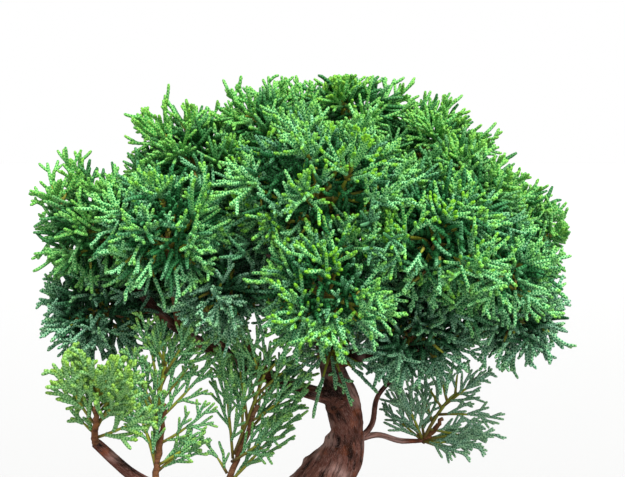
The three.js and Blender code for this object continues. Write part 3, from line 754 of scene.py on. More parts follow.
def grow_spray(cords, stems, root, tip, bend, habit, age, lime, rng):
    """A stem from root to tip whose outer part is leafy: side shoots, and short forks on those."""
    tip = keep_in(tip)
    curve = (root, 0.5 * (root + tip) + bend, tip)
    length = np.linalg.norm(tip - root)
    leafy = min(0.85 * length, rng.uniform(*habit["leafy"]))
    bare = 1 - leafy / length
    radius = habit["radius"]
    half_bare(cords, stems, curve, bare, SPRAY_STEM, radius, age, lime, rng)
    longest = habit["longest"] * rng.uniform(0.85, 1.15)
    roll = rng.uniform(0, TURN)
    count = max(int(leafy / habit["step"]), 2)
    for k in range(count):
        share = (k + rng.uniform(0.2, 0.8)) / count
        t = bare + (1 - bare) * share * 0.92
        tangent = bezier_way(*curve, t)
        roll += math.pi + rng.normal() * 0.5 + 0.4
        reach = longest * (1.0 - habit["taper"] * share) * rng.uniform(0.6, 1.2)
        way = side_direction(tangent, roll, rng.uniform(*habit["angle"]))
        shoot = bent(bezier(*curve, t), way, way + 0.35 * tangent + RISE, reach)
        cords.add_leafy(*shoot, radius * rng.uniform(0.9, 1.0), age, lime, rng)
        fork_roll = rng.uniform(0, TURN)
        heading = unit(shoot[2] - shoot[1])
        forks = int(habit["forked"] * reach / 3.5 + rng.uniform())
        for f in range(forks):
            base = bezier(*shoot, 0.25 + 0.5 * (f + rng.uniform(0, 0.8)) / forks)
            fork_roll += math.pi + rng.normal() * 0.6
            fork_reach = rng.uniform(*habit["fork"])
            way = side_direction(heading, fork_roll, rng.uniform(0.55, 0.85))
            fork = bent(base, way, way + 0.4 * heading, fork_reach)
            cords.add_leafy(*fork, radius * rng.uniform(0.84, 0.96), age, lime, rng)


def points_between():
    """Points in the hollows where clumps meet, and the clump that each belongs to."""
    rng = np.random.default_rng(4)
    tries = rng.uniform(box_low, box_high, size=(40000, 3))
    dense = np.array([clump[5] == "dense" for clump in CLUMPS.values()])
    away = far_out(tries[:, None], centres, radii)
    among = (away[:, dense] < 1.5).sum(axis=1) >= 3
    # the crown's middle, which would be open to a view from above
    among |= far_out(tries, *CROWN_MIDDLE) < 1
    hollow = away.min(axis=1) > 0.8
    low = np.where(tries[:, 0] < 10, *LOWEST_FILL)
    kept = []
    for place in tries[among & hollow & (tries[:, 2] > low) & (far_out(tries, *CROWN) < 1)]:
        if all(np.linalg.norm(place - other) > FILL_SPACING for other in kept):
            kept.append(place)
    kept = np.array(kept)
    return kept, np.where(dense, far_out(kept[:, None], centres, radii), 9).argmin(axis=1)


between, nearest_clump = points_between()


def grow_tuft(index, cords, stems, root, direction, surface, sloped, lime, rng):
    """Sprays from a point under a clump's surface, outwards and to all sides, and from the stem to it."""
    axis = unit(direction + np.array((0, 0, 0.25)) + rng.normal(size=3) * 0.2)
    depth = rng.uniform(5.5, 8.0)
    node = surface - axis * depth
    young = lime * rng.uniform(0.5, 1.25)
    # tufts on a clump's underside get an older, greyer and darker colour: painted shade under the clump, on
    # lower growth that is greyer too
    low = np.clip(0.25 - 0.5 * direction[2], 0, 0.4) * (1.2 - lime)
    middle = 0.5 * (root + node) + rng.normal(size=3) * 0.8
    stems.add(root, middle, node, TUFT_STEM, 0.0, rng.uniform(), 0.0)
    turn = rng.uniform(0, TURN)
    stray = STRAY_REACH if rng.uniform() < STRAY_SHARE and not sloped else 1.0
    for k in range(TUFT_SPRAYS):
        lift = axis * rng.uniform(-1.5, 2.0)
        if k < OUTWARD_SPRAYS:
            way = side_direction(axis, turn + k * SPRAY_TURN, rng.uniform(0.05, 0.65))
            reach = depth * rng.uniform(1.0, 1.3) * stray
        else:
            roll = turn + k * math.pi / 3 + rng.normal() * 0.25
            way = side_direction(axis, roll, rng.uniform(0.6, 1.25))
            reach = rng.uniform(6.0, 14.5)
        tip = node + lift + way * reach + RISE * 4
        if beside(tip, index) < TIP_CLEAR:
            continue
        age = np.clip(low + rng.normal() * 0.08, 0, 0.5)
        bend = axis * rng.uniform(-1.0, 0.6) + across(way, rng) * rng.uniform(0.1, 0.7)
        grow_spray(cords, stems, node + lift, tip, bend, DENSE, age, young * (1 - age), rng)
    for _ in range(STEM_SPRAYS):
        base = root + (node - root) * rng.uniform(0.4, 0.9)
        way = side_direction(axis, rng.uniform(0, TURN), rng.uniform(0.8, 1.3))
        tip = base + way * rng.uniform(9, 13)
        grow_spray(cords, stems, base, tip, across(way, rng), DENSE, rng.uniform(0.4, 0.7), 0.1 * lime, rng)


def grow_dense(index, cords, stems, lime, rng):
    """A clump of tufts, with old growth in its hollows and inside it."""
    centre, radius = centres[index], radii[index]
    twig = twig_curve(clump_names[index])
    mean = radius.mean()
    back = unit(twig[0] - centre)
    for direction in spread_directions(int(4 * math.pi * mean**2 / TUFT_SPACING**2), rng):
        sloped = centre[0] > SLOPE_FROM and 0.5 * direction[0] + direction[2] > 0.5
        push = rng.uniform(0.9, 1.08) * (SLOPE_SHARE if sloped else 1.0)
        surface = centre + direction * radius * push
        if direction @ back <= 0.8 and beside(surface, index) >= TUFT_CLEAR:
            root = bezier(*twig, rng.uniform(0.75, 1.0))
            grow_tuft(index, cords, stems, root, direction, surface, sloped, lime, rng)
    # old growth in the hollows between clumps, aged past where the colour dims: painted shade in the gaps, as
    # well as older growth
    for place in between[nearest_clump == index]:
        outward = unit(unit(place - CANOPY_MIDDLE) + rng.normal(size=3) * 0.35)
        turn = rng.uniform(0, TURN)
        for k in range(FILL_CORDS):
            way = side_direction(outward, turn + k * SPRAY_TURN, rng.uniform(0.2, 1.0))
            cord = bent(place, way, way + 0.35 * outward, rng.uniform(5, 8.5))
            age = rng.uniform(0.6, 0.85)
            cords.add(*cord, HOLLOW_CORD, age, rng.uniform(), 0.3 * lime * rng.uniform())
    # old growth inside, which closes the clump, darker: painted shade as well as older growth
    for _ in range(int(INSIDE_CORDS * mean**2)):
        place = centre + unit(rng.normal(size=3)) * radius * rng.uniform(0.3, 0.86)
        way = unit(unit(place - centre) + rng.normal(size=3) * 0.55)
        reach = rng.uniform(5, 9)
        middle = place + way * reach * 0.5 + rng.normal(size=3) * 0.7
        end = keep_in(place + way * reach)
        cords.add(place, middle, end, INSIDE_CORD, rng.uniform(0.7, 1.0), rng.uniform(), 0.0)


def hang_sprays(index, cords, stems, rng):
    """Loose sprays from the underside of a clump, where no other clump is below."""
    for direction in spread_directions(HANGING_TRIES, rng):
        surface = centres[index] + direction * radii[index] * 0.88
        if direction[2] > -0.3 or beside(surface, index) < HANG_CLEAR:
            continue
        way = unit(direction + rng.normal(size=3) * 0.35 + (0, 0, -0.35))
        tip = surface + way * rng.uniform(5.5, 9.5)
        bend = np.array((0.0, 0.0, -1.0)) * rng.uniform(0.2, 1.4)
        age = rng.uniform(0.25, 0.5)
        grow_spray(cords, stems, surface - way * 4, tip, bend, HANGING, age, 0.4 * rng.uniform(), rng)


def grow_front_sprays(cords, stems, rng):
    habit = HANGING | {"leafy": (12, 16)}
    bend = np.array((0.0, -1.5, 1.5))
    for tip in FRONT_TIPS:
        tip = tip + rng.normal(size=3)
        grow_spray(cords, stems, FRONT_ROOT, tip, bend, habit, rng.uniform(0.25, 0.5), 0.3, rng)


def between_ways(way, out, angle):
    return unit(way * math.cos(angle) + out * math.sin(angle))


def fan_shoot(cords, base, way, flat, ahead, reach, habit, age, lime, rng):
    """A leafy side axis of a fan, with its own short shoots left and right in the same plane."""
    curve = bent(base, way, way + ahead * 0.3, reach)
    cords.add_leafy(*curve, habit["radius"], age, lime, rng)
    count = int(reach / habit["shoot_step"])
    side = rng.choice((-1, 1))
    for k in range(count):
        side = -side
        share = (k + rng.uniform(0.5, 1.0)) / (count + 0.6)
        angle = rng.uniform(*habit["angle"])
        turn = between_ways(way, unit(flat * side + rng.normal(size=3) * 0.22), angle)
        length = min(habit["shoot"] * (1.1 - 0.6 * share) * rng.uniform(0.7, 1.15), 0.7 * reach)
        shoot = bent(bezier(*curve, share), turn, turn + way * 0.35, length)
        cords.add_leafy(*shoot, habit["radius"] * rng.uniform(0.88, 1.0), age, lime, rng)


def grow_fan(cords, stems, base, way, normal, length, habit, age, lime, rng):
    """One flat fan: a bare stem, its leafy end, and side axes left and right of it."""
    across_way = unit(np.cross(way, normal))
    tip = keep_in(base + way * length)
    curve = (base, 0.5 * (base + tip) + across_way * rng.normal() * 0.07 * length, tip)
    half_bare(cords, stems, curve, 0.5, FAN_STEM, habit["radius"], age, lime, rng)
    side = rng.choice((-1, 1))
    at = FAN_FROM
    while at < FAN_TO:
        side = -side
        tangent = bezier_way(*curve, at)
        angle = rng.uniform(*habit["angle"])
        turn = between_ways(tangent, unit(across_way * side + rng.normal(size=3) * 0.2), angle)
        reach = max(habit["side"] * length * (1.08 - at) * rng.uniform(0.75, 1.15), 3.5)
        flat = unit(np.cross(turn, normal))
        fan_shoot(cords, bezier(*curve, at), turn, flat, tangent, reach, habit, age, lime, rng)
        at += habit["step"] / length * rng.uniform(0.8, 1.25)


def grow_fans(index, cords, stems, habit, lime, rng):
    """Flat fans that rise from one base at the foot of the clump, broad side to the light."""
    centre, radius = centres[index], radii[index]
    start = twig_curve(clump_names[index])[0]
    back = unit(start - centre)
    base = centre + (start - centre) * FAN_FOOT / max(far_out(start, centre, radius), FAN_FOOT)
    axis = (base, centre + rng.normal(size=3) * 1.5, centre - back * radius * 0.4)
    stems.add(*axis, FOOT_STEM, 0.0, 0.3, 0.0)
    facing = unit(np.array((0.0, -1.0, 0.25)))
    side_way = unit(np.cross(-back, facing))
    below = habit["below"]
    for k in range(habit["fans"]):
        share = (k + rng.uniform()) / habit["fans"]
        if share < below:
            root = start + (base - start) * (0.35 + 0.65 * share / below)
        else:
            root = bezier(*axis, (share - below) / (1 - below))
        lean = (-1) ** k * habit["spread"] * rng.uniform(0.25, 1.0) * (1 - 0.5 * share)
        forwards = facing * rng.uniform(-0.55, 0.55)
        way = unit(-back * math.cos(lean) + side_way * math.sin(lean) + forwards + RISE * 0.5)
        # the way from the root to the far side of the clump
        q, d = (root - centre) / radius, way / radius
        far = -(q @ d) / (d @ d) + math.sqrt(max((q @ d) ** 2 - (d @ d) * (q @ q - 1), 0)) / (d @ d)
        normal = unit(facing + rng.normal(size=3) * 0.3)
        age = habit["age"] * rng.uniform(0.3, 1.7)
        length = max(far, 12) * rng.uniform(0.9, 1.16)
        grow_fan(cords, stems, root, way, normal, length, habit, age, lime, rng)


def make_clump(index, name, stems, material):
    _, _, _, _, lime, style = CLUMPS[name]
    rng = np.random.default_rng(1000 + index)
    cords = Cords()
    dense = style == "dense"
    if dense:
        grow_dense(index, cords, stems, lime, rng)
        hang_sprays(index, cords, stems, rng)
    else:
        grow_fans(index, cords, stems, FAN_HABITS.get(name, FAN), lime, rng)
    if name == "right_low":
        grow_front_sprays(cords, stems, rng)
    rows = np.array(cords.rows)
    outside = (shell(rows[:, 6:9]) > SIGHT_FROM) & (rows[:, 10] < SIGHT_AGE) | (not dense)
    sets = [cords.arrays(outside, OUTER, rng, float(dense))]
    if not outside.all():
        sets.append(cords.arrays(~outside, INNER, rng))
    points, quads, uvs, growth = joined(sets)
    piece = mesh_object(f"sprays_{name}", points, quads)
    piece.data.uv_layers.new(name="scales").data.foreach_set("uv", uvs.astype(np.float32).ravel())
    attribute(piece, "growth", "FLOAT_COLOR", "color", growth)
    slot = "foliage_open" if style == "open" else "foliage"
    hand_over(piece, material, slot, f"foliage_{name}")


def make_shoots(stems, material):
    rng = np.random.default_rng(5)
    points, quads, _, growth = stems.arrays(slice(None), BARE, rng, 0.0, tips=False)
    piece = mesh_object("shoot_stems", points, quads)
    attribute(piece, "growth", "FLOAT_COLOR", "color", growth)
    hand_over(piece, material, "bark")


# ---------- wood ----------

# small burrs on the trunk's left edge: where, how high and how wide
BURRS = [((6.6, -1, 92.4), 1.3, 1.8), ((0.2, -1, 84.6), 1.0, 1.6), ((13.5, -4.5, 100), 0.8, 2.0)]

WOOD_STEP = 1.2
BARK_VOXEL = 0.465
# the grain's turn round the wood for each millimetre along it
BARK_TWIST = 0.035
# painted shade on the wood inside the crown, above this height: its bark value is cut to this share, which
# darkens it
PAINTED_SHADE_ABOVE, PAINTED_SHADE_SHARE = 106, 0.35


def spaced(path):
    """The same path with even steps, and how far along each point is, from 0 to 1."""
    along = lengths_along(path)
    at = np.linspace(0, along[-1], max(int(along[-1] / WOOD_STEP), 4))
    return np.stack([np.interp(at, along, path[:, k]) for k in range(3)], axis=1), at / along[-1]


def woody_tubes():
    """Every thick woody tube, as (path, radii)."""
    path, share = spaced(catmull_rom(TRUNK_POINTS, 12))
    along = lengths_along(TRUNK_POINTS)
    tubes = [(path, np.interp(share, along / along[-1], TRUNK_RADII))]
    for points, thick, thin in LIMBS.values():
        path, share = spaced(catmull_rom(points, 12))
        tubes.append((path, thick + (thin - thick) * share))
    for heading, reach, radius in ROOTS:
        x, y = math.cos(math.radians(heading)), math.sin(math.radians(heading))
        points = [(ROOT_FOOT[0] + x * s * reach, ROOT_FOOT[1] + y * s * reach, z) for s, z in ROOT_STATIONS]
        path, share = spaced(catmull_rom(points, 12))
        tubes.append((path, radius * np.interp(share, (0, 0.33, 0.67, 1), ROOT_GIRTHS)))
    return tubes


wood = woody_tubes()


def vertex_values(mesh, field):
    values = np.empty(len(mesh.vertices) * 3, dtype=np.float32)
    mesh.vertices.foreach_get(field, values)
    return values.reshape(-1, 3).astype(float)


def grain_places(p):
    """Each point's place along and around its tube, turned with the grain, and the tube's radius there."""
    rows = []
    start = 0.0
    for path, r in wood:
        along = lengths_along(path) + start
        start = along[-1] + 20
        rows.append(np.hstack([path, *frames_along(path), along[:, None], r[:, None]]))
    rows = np.vstack(rows)
    tree = KDTree(len(rows))
    for i, row in enumerate(rows):
        tree.insert(row[:3], i)
    tree.balance()
    near = rows[[tree.find(q)[1] for q in p]]
    offset = p - near[:, 0:3]
    ahead, right, up = ((offset * near[:, k : k + 3]).sum(1) for k in (3, 6, 9))
    along = near[:, 12] + ahead
    sin, cos = np.sin(along * BARK_TWIST), np.cos(along * BARK_TWIST)
    return np.stack([along, cos * right - sin * up, sin * right + cos * up], axis=1), near[:, 13]


def make_trunk(material):
    """Trunk, limbs and roots fused into one skin, with furrows and plates along the grain."""
    rough = mesh_object("trunk", *joined([sweep(path, r, 20) for path, r in wood]))
    remesh = rough.modifiers.new("fuse", "REMESH")
    remesh.mode = "VOXEL"
    remesh.voxel_size = BARK_VOXEL * MM
    remesh.adaptivity = 0
    fused = bpy.data.meshes.new_from_object(rough.evaluated_get(bpy.context.evaluated_depsgraph_get()))
    rough.modifiers.clear()
    rough.data = fused
    p = vertex_values(fused, "co") / MM
    normal = vertex_values(fused, "normal")
    grain, girth = grain_places(p)
    broad = lattice_noise(grain / (9.0, 4.5, 4.5) + 40, 3)
    plates = lattice_noise(grain / (8.0, 1.3, 1.3) + 80, 5)
    ridged = 1 - np.abs(2 * lattice_noise(grain / (12.0, 1.6, 1.6) + 20, 9) - 1)
    fine = lattice_noise(grain / (3.2, 0.6, 0.6) + 60, 7)
    height = 0.4 * ridged + 0.35 * plates + 0.25 * fine
    push = np.clip(girth / 7, 0.16, 1) * (1.9 * (broad - 0.5) + 1.3 * (height - 0.55))
    for place, high, wide in BURRS:
        push += high * np.exp(-(np.linalg.norm(p - place, axis=1) ** 2) / wide**2)
    p = p + normal * push[:, None]
    fused.vertices.foreach_set("co", (p * MM).astype(np.float32).ravel())
    fused.update()
    fused.polygons.foreach_set("use_smooth", np.ones(len(fused.polygons), dtype=bool))
    # the bark value is the relief's height, so the crack colour fills the furrows: painted shade
    low, high = np.percentile(height, (5, 95))
    spread = np.clip((height - low) / (high - low), 0, 1)
    # painted shade inside the crown
    spread *= np.where(p[:, 2] > PAINTED_SHADE_ABOVE, PAINTED_SHADE_SHARE, 1.0)
    attribute(rough, "bark", "FLOAT", "value", spread)
    attribute(rough, "grain", "FLOAT_VECTOR", "vector", grain)
    hand_over(rough, material, "bark", "trunk_and_branches")


def make_twigs(material):
    """The twigs from the limbs into the clumps."""
    parts = []
    rng = np.random.default_rng(77)
    for name in CLUMPS:
        path = bezier(*twig_curve(name), np.linspace(0, 1, 14)[:, None])
        path[1:-1] += rng.normal(size=(len(path) - 2, 3)) * 0.22
        parts.append(sweep(path, np.linspace(*TWIG_RADII, len(path)), 10))
    points, quads = joined(parts)
    piece = mesh_object("twigs", points, quads)
    attribute(piece, "bark", "FLOAT", "value", rng.uniform(0.3, 1, size=len(points)))
    attribute(piece, "grain", "FLOAT_VECTOR", "vector", points)
    hand_over(piece, material, "bark")


# ---------- pot, screens and soil ----------

# the rounded corner inside at the floor, the radius of the feet's corners, and the feet's height
POT_COVE = 2.5
FOOT_CORNER, FOOT_TOP = 3, 6.8

# heights and radii of the drill for a drain hole, a little wider at both mouths
DRAIN_PROFILE = ((3, 7.6), (5.6, 7.6), (6.4, 7.0), (11.4, 7.0), (12.3, 7.7), (15, 7.7))

# wood counts as near the soil below this height, and a place with none near has this gap to it
NEAR_SOIL, FAR_AWAY = 56, 99.0

# the grains' spacing, and how far they stay from the pot's wall
GRAIN_PITCH = 2.75
GRAIN_EDGE = 1.2

# moss: places tried and tufts kept at most, the belt round the roots where it is denser, by how much, and
# the value of its noise that it grows from
MOSS_TRIES, MOSS_TUFTS = 60000, 9000
MOSS_BELT, MOSS_MORE, MOSS_FROM = 26, 0.34, 0.93


def rounded_ring(half_length, half_width, corner, height, divisions=12):
    points = []
    for quarter, (sx, sy) in enumerate(((1, 1), (-1, 1), (-1, -1), (1, -1))):
        for k in range(divisions + 1):
            angle = math.radians(90 * (quarter + k / divisions))
            x = sx * (half_length - corner) + corner * math.cos(angle)
            y = sy * (half_width - corner) + corner * math.sin(angle)
            points.append((x, y, height))
    return points


def pot_wall(height):
    """Half sizes of the outside wall below the rim."""
    share = max((POT["rim_bottom"] - height) / (POT["rim_bottom"] - POT["foot_height"]), 0)
    inset = POT["overhang"] + POT["taper"] * share
    return POT["length"] / 2 - inset, POT["width"] / 2 - inset


def pot_ring(height, inwards):
    length, width = pot_wall(height)
    return rounded_ring(length - inwards, width - inwards, POT["corner"] - inwards / 2, height)


def rim_ring(height, inwards):
    return rounded_ring(POT["length"] / 2 - inwards, POT["width"] / 2 - inwards, POT["corner"], height)


def through_rings(mesh, rings, move=(0, 0, 0)):
    """A closed skin over rings of equal count, with a cap on the first and on the last."""
    move = Vector(move)
    rows = [[mesh.verts.new((Vector(p) + move) * MM) for p in ring] for ring in rings]
    count = len(rows[0])
    for low, high in zip(rows, rows[1:]):
        for k in range(count):
            after = (k + 1) % count
            mesh.faces.new((low[k], low[after], high[after], high[k]))
    mesh.faces.new(rows[0][::-1])
    mesh.faces.new(rows[-1])


def object_of(name, mesh, angle=40):
    """A bmesh as an object, smooth except over edges sharper than the angle."""
    data = bpy.data.meshes.new(name)
    mesh.to_mesh(data)
    mesh.free()
    data.polygons.foreach_set("use_smooth", np.ones(len(data.polygons), dtype=bool))
    data.set_sharp_from_angle(angle=math.radians(angle))
    return in_scene(name, data)


def quarter(count):
    """Shares across and up a rounded edge, from its foot to its top."""
    return [(1 - math.cos(a), math.sin(a)) for a in np.linspace(0, math.pi / 2, count)]


def pot_rings():
    """The pot's skin without its feet and holes, from the outer foot over the rim to the floor inside."""
    bevel, lift, slope, edge = (POT[k] for k in ("bevel", "bevel_height", "slope", "edge"))
    bottom, rim_bottom, top, wall = (POT[k] for k in ("foot_height", "rim_bottom", "height", "wall"))
    floor_top, face = bottom + POT["floor"], rim_bottom + slope
    flat = POT["overhang"] + wall - edge
    rings = [pot_ring(bottom + lift * out, bevel * (1 - up)) for out, up in quarter(7)]
    rise = rim_bottom - bottom - lift
    rings += [pot_ring(bottom + lift + rise * s, 0) for s in np.linspace(0, 1, 14)[1:]]
    # the cove under the rim, its rounded lower edge, its face and its rounded top
    rings += [rim_ring(rim_bottom + slope * s**2, POT["overhang"] * (1 - s)) for s in (0.15, 0.4, 0.7, 0.9)]
    rings += [rim_ring(face + 0.5 * out, 0.12 * (1 - up)) for out, up in quarter(5)]
    rings += [rim_ring(face + 0.5 + (top - face - 1.6) * s, 0) for s in (0.35, 0.7)]
    rings += [rim_ring(top - edge + edge * up, edge * out) for out, up in quarter(6)]
    rings += [rim_ring(top, edge + (flat - edge) * s) for s in (0.25, 0.75)]
    # the inner edge of the rim, the wall inside and the rounded corner at the floor
    rings += [pot_ring(top - edge + edge * up, wall - edge * out) for out, up in quarter(6)[::-1]]
    deep = floor_top + POT_COVE - top + edge
    rings += [pot_ring(top - edge + deep * s, wall) for s in np.linspace(0, 1, 8)[1:]]
    rings += [pot_ring(floor_top + POT_COVE * (1 - up), wall + POT_COVE * out) for out, up in quarter(6)]
    return rings


def make_pot(material):
    skin, drill, drained = bmesh.new(), bmesh.new(), bmesh.new()
    through_rings(skin, pot_rings())
    pot = object_of("pot_body", skin)
    circle = [(math.cos(TURN * k / 48), math.sin(TURN * k / 48)) for k in range(48)]
    rings = [[(radius * x, radius * y, height) for x, y in circle] for height, radius in DRAIN_PROFILE]
    for side in (-1, 1):
        through_rings(drill, rings, (side * POT["drain_offset"], 0, 0))
    cut = pot.modifiers.new("drains", "BOOLEAN")
    cut.operation = "DIFFERENCE"
    cut.solver = "EXACT"
    cut.object = object_of("pot_drill", drill)
    drained.from_mesh(pot.evaluated_get(bpy.context.evaluated_depsgraph_get()).data)
    bpy.data.objects.remove(cut.object)
    bpy.data.objects.remove(pot)
    half = (POT["foot_length"] / 2, POT["foot_width"] / 2)
    steps = [(0.7 * out, 1 + 0.7 * (1 - up)) for out, up in quarter(5)]
    steps += [(height, 1 - height / FOOT_TOP) for height in (1.6, 3, 4.5, 6.0)] + [(FOOT_TOP, 0)]
    foot = [rounded_ring(half[0] - inset, half[1] - inset, FOOT_CORNER, z, 6) for z, inset in steps]
    far_x, far_y = (wall - POT["foot_inset"] - size for wall, size in zip(pot_wall(POT["foot_height"]), half))
    for x in (-far_x, far_x):
        for y in (-far_y, far_y):
            through_rings(drained, foot, (x, y, 0))
    hand_over(object_of("pot_stoneware", drained, 50), material, "pot", "pot")


soil_length, soil_width = (side - POT["wall"] - SOIL["gap"] for side in pot_wall(SOIL["edge"]))
soil_corner = POT["corner"] - (POT["wall"] + SOIL["gap"]) / 2


def on_soil(places):
    """The places with the height of the mound's surface there, as the solid has it."""
    share = np.clip(1 - (np.abs(places) / (soil_length, soil_width)).max(axis=1), 0, 1)
    return np.column_stack([places, SOIL["edge"] + SOIL["mound"] * np.sin(share * math.pi / 2)])


def make_soil(material):
    """The bed that the grains lie on."""
    inwards = POT["wall"] + SOIL["gap"]
    rings = [pot_ring(height, inwards) for height in (SOIL["bottom"], 26, POT["rim_bottom"])]
    for share in np.linspace(0, 0.97, 26):
        size = [side * (1 - share) for side in (soil_length, soil_width, soil_corner)]
        rings.append(rounded_ring(*size, SOIL["edge"] - 0.7 + SOIL["mound"] * math.sin(share * math.pi / 2)))
    skin = bmesh.new()
    through_rings(skin, rings)
    hand_over(object_of("soil_bed", skin), material, "soil", "soil")


def near_wood(places):
    """How far each place is outside the roots and the trunk's foot, seen from above."""
    gap = np.full(len(places), FAR_AWAY)
    for path, r in wood:
        low = path[:, 2] < NEAR_SOIL
        if low.any():
            far = np.linalg.norm(places[:, None, :2] - path[None, low, :2], axis=2) - r[None, low]
            reach = path[None, low, 2] + r[None, low] > places[:, None, 2] - 0.5
            gap = np.minimum(gap, np.where(reach, far, FAR_AWAY).min(axis=1))
    return gap


def make_grains(material):
    """Coarse soil: hard fired clay, lava and a little pumice, sifted to a few millimetres."""
    rng = np.random.default_rng(31)
    rows = []
    for j, y in enumerate(np.arange(-soil_width + GRAIN_EDGE, soil_width - 1.0, GRAIN_PITCH * 0.87)):
        first = -soil_length + GRAIN_EDGE + GRAIN_PITCH / 2 * (j % 2)
        rows += [(x, y) for x in np.arange(first, soil_length - 1.0, GRAIN_PITCH)]
    places = np.array(rows) + rng.uniform(-0.75, 0.75, size=(len(rows), 2))
    beyond = np.maximum(np.abs(places) - (soil_length - soil_corner, soil_width - soil_corner), 0)
    places = on_soil(places[np.linalg.norm(beyond, axis=1) < soil_corner - GRAIN_EDGE])
    places = places[near_wood(places) > -0.4]
    count = len(places)
    size = np.exp(rng.normal(0.32, 0.2, size=count)).clip(0.95, 2.1)
    places[:, 2] -= size * rng.uniform(0.15, 0.6, size=count) - 0.1
    ball = bmesh.new()
    bmesh.ops.create_icosphere(ball, subdivisions=2, radius=1)
    sphere = np.array([v.co[:] for v in ball.verts])
    faces = np.array([[v.index for v in f.verts] for f in ball.faces])
    ball.free()
    rough = rng.uniform(0.84, 1.14, size=(count, len(sphere), 1))
    squash = rng.uniform(0.72, 1.12, size=(count, 1, 3))
    turn = np.linalg.qr(rng.normal(size=(count, 3, 3)))[0]
    shape = np.einsum("nvc,nkc->nvk", sphere * rough * squash, turn) * size[:, None, None]
    points = (shape + places[:, None]).reshape(-1, 3)
    piece = mesh_object("soil_grains", points, copies(faces, count, len(sphere)), smooth=False)
    attribute(piece, "grain", "FLOAT", "value", np.repeat(rng.uniform(size=count), len(sphere)))
    hand_over(piece, material, "soil")


def make_moss(material):
    """Short moss in patches about the roots and on the mound, each tuft a tall three-sided spike."""
    rng = np.random.default_rng(57)
    far = np.array((soil_length - 3, soil_width - 3))
    tries = rng.uniform(-far, far, size=(MOSS_TRIES, 2))
    flat = np.column_stack([tries, np.zeros(len(tries))])
    patchy = lattice_noise(flat / 11.0 + 30, 21) + 0.25 * lattice_noise(flat / 3.0 + 30, 22)
    places = on_soil(tries)
    gap = near_wood(places)
    mossy = patchy + MOSS_MORE * np.clip(1 - gap / MOSS_BELT, 0, 1)
    keep = np.where((gap > 0.1) & (mossy > MOSS_FROM))[0][:MOSS_TUFTS]
    count = len(keep)
    mound = 0.3 + 0.9 * np.clip(mossy[keep] - MOSS_FROM, 0, 0.2) / 0.2
    tall = rng.uniform(0.9, 1.7, size=count)
    lean = rng.normal(size=(count, 2)) * 0.35
    angle = rng.uniform(0, TURN, size=count)[:, None] + np.arange(3) * TURN / 3
    points = np.repeat(places[keep][:, None], 4, axis=1)
    points[:, :3] += np.stack([0.2 * np.cos(angle), 0.2 * np.sin(angle), np.full(angle.shape, -0.4)], axis=-1)
    points[:, 3] += np.column_stack([lean, mound + tall])
    faces = np.array([(0, 1, 3), (1, 2, 3), (2, 0, 3), (2, 1, 0)])
    piece = mesh_object("moss", points.reshape(-1, 3), copies(faces, count, 4), smooth=False)
    tip = np.tile((0.0, 0.0, 0.0, 1.0), count)
    values = np.column_stack([tip, np.repeat(rng.uniform(size=count), 4), tip, tip])
    attribute(piece, "growth", "FLOAT_COLOR", "color", values)
    hand_over(piece, material, "soil")


def dress_screens(material):
    """The drain screens are kept as they are, with softened edges."""
    for name in ("drain_screen_left", "drain_screen_right"):
        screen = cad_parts[name]
        screen.data.materials.clear()
        screen.data.materials.append(material)
        bevel = screen.modifiers.new("soft_edges", "BEVEL")
        bevel.width = 0.15 * MM
        bevel.segments = 2


# ---------- camera, light, floor ----------

CAMERA_AIM = (2.4, 0.0, 157.6)
CAMERA_DISTANCE = 420
CAMERA_TILT = math.radians(5)
# the lens, as a focal length in pixels of the picture
FOCAL_PIXELS = 1292
IMAGE_WIDTH = 625
SENSOR = 36
FLOOR_REACH = 6.0


def make_camera():
    data = bpy.data.cameras.new("camera")
    data.sensor_width = SENSOR
    data.lens = FOCAL_PIXELS / IMAGE_WIDTH * SENSOR
    data.clip_start = 0.01
    data.clip_end = 50
    back = Vector((0, -math.cos(CAMERA_TILT), math.sin(CAMERA_TILT)))
    camera = in_scene("camera", data)
    camera.location = Vector(CAMERA_AIM) * MM + back * CAMERA_DISTANCE * MM
    camera.rotation_euler = back.to_track_quat("Z", "Y").to_euler()
    bpy.context.scene.camera = camera


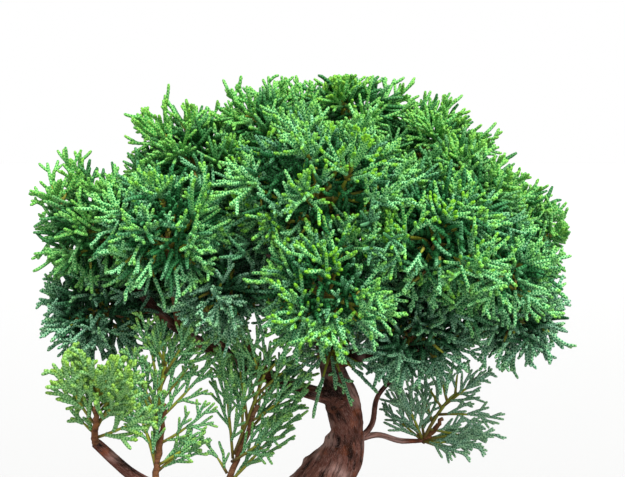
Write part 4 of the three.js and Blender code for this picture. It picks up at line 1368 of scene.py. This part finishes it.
def sun_light(name, towards, degrees, strength):
    """A large soft light, far off in the direction given."""
    data = bpy.data.lights.new(name, "SUN")
    data.angle = math.radians(degrees)
    data.energy = strength
    in_scene(name, data).rotation_euler = Vector(towards).to_track_quat("Z", "Y").to_euler()


def make_stage():
    scene = bpy.context.scene
    scene.view_settings.view_transform = "Standard"
    scene.view_settings.look = "None"
    scene.world = bpy.data.worlds.new("studio")
    scene.world.use_nodes = True
    background = scene.world.node_tree.nodes["Background"]
    background.inputs[0].default_value = (1, 1, 1, 1)
    background.inputs[1].default_value = 1.0
    sun_light("key", (0.25, -0.62, 1.0), 24, 5.4)
    sun_light("fill", (1.0, -0.5, 0.35), 60, 1.0)
    mesh = bpy.data.meshes.new("floor")
    corners = [(x * FLOOR_REACH, y * FLOOR_REACH, 0) for x, y in ((-1, -1), (1, -1), (1, 1), (-1, 1))]
    mesh.from_pydata(corners, [], [(0, 1, 2, 3)])
    floor = in_scene("floor", mesh)
    n = Nodes("floor")
    # painted shade round the tree: the floor is darker near it and paler far off, with a little noise
    far = n.node("ShaderNodeVectorMath", {0: n.place()}, operation="LENGTH").outputs["Value"]
    share = n.math("ADD", n.ramp(far, 0.25, 2.6), n.math("MULTIPLY", n.noise(3, 2), 0.1))
    mesh.materials.append(n.surface(n.mix(share, (0.365, 0.365, 0.363, 1), (0.412, 0.412, 0.412, 1)), 0.9))


make_camera()
make_stage()

leaves = {key: foliage_material(f"foliage_{key}", *palette) for key, palette in PALETTES.items()}
stems = Cords()
for index, name in enumerate(CLUMPS):
    make_clump(index, name, stems, leaves[palette_of(name)])
make_shoots(stems, stem_material("stem", (134, 146, 40), (88, 58, 36)))
make_trunk(bark_material("bark", (92, 57, 48), (18, 8, 5), (166, 134, 126), (150, 76, 34)))
make_twigs(bark_material("twig", (112, 74, 50), (62, 38, 26), (140, 106, 80), (148, 96, 44)))
make_pot(pot_material("pot"))
soil = soil_material("soil")
make_soil(soil)
make_grains(soil)
make_moss(moss_material("moss"))
dress_screens(screen_material("drain_screen"))
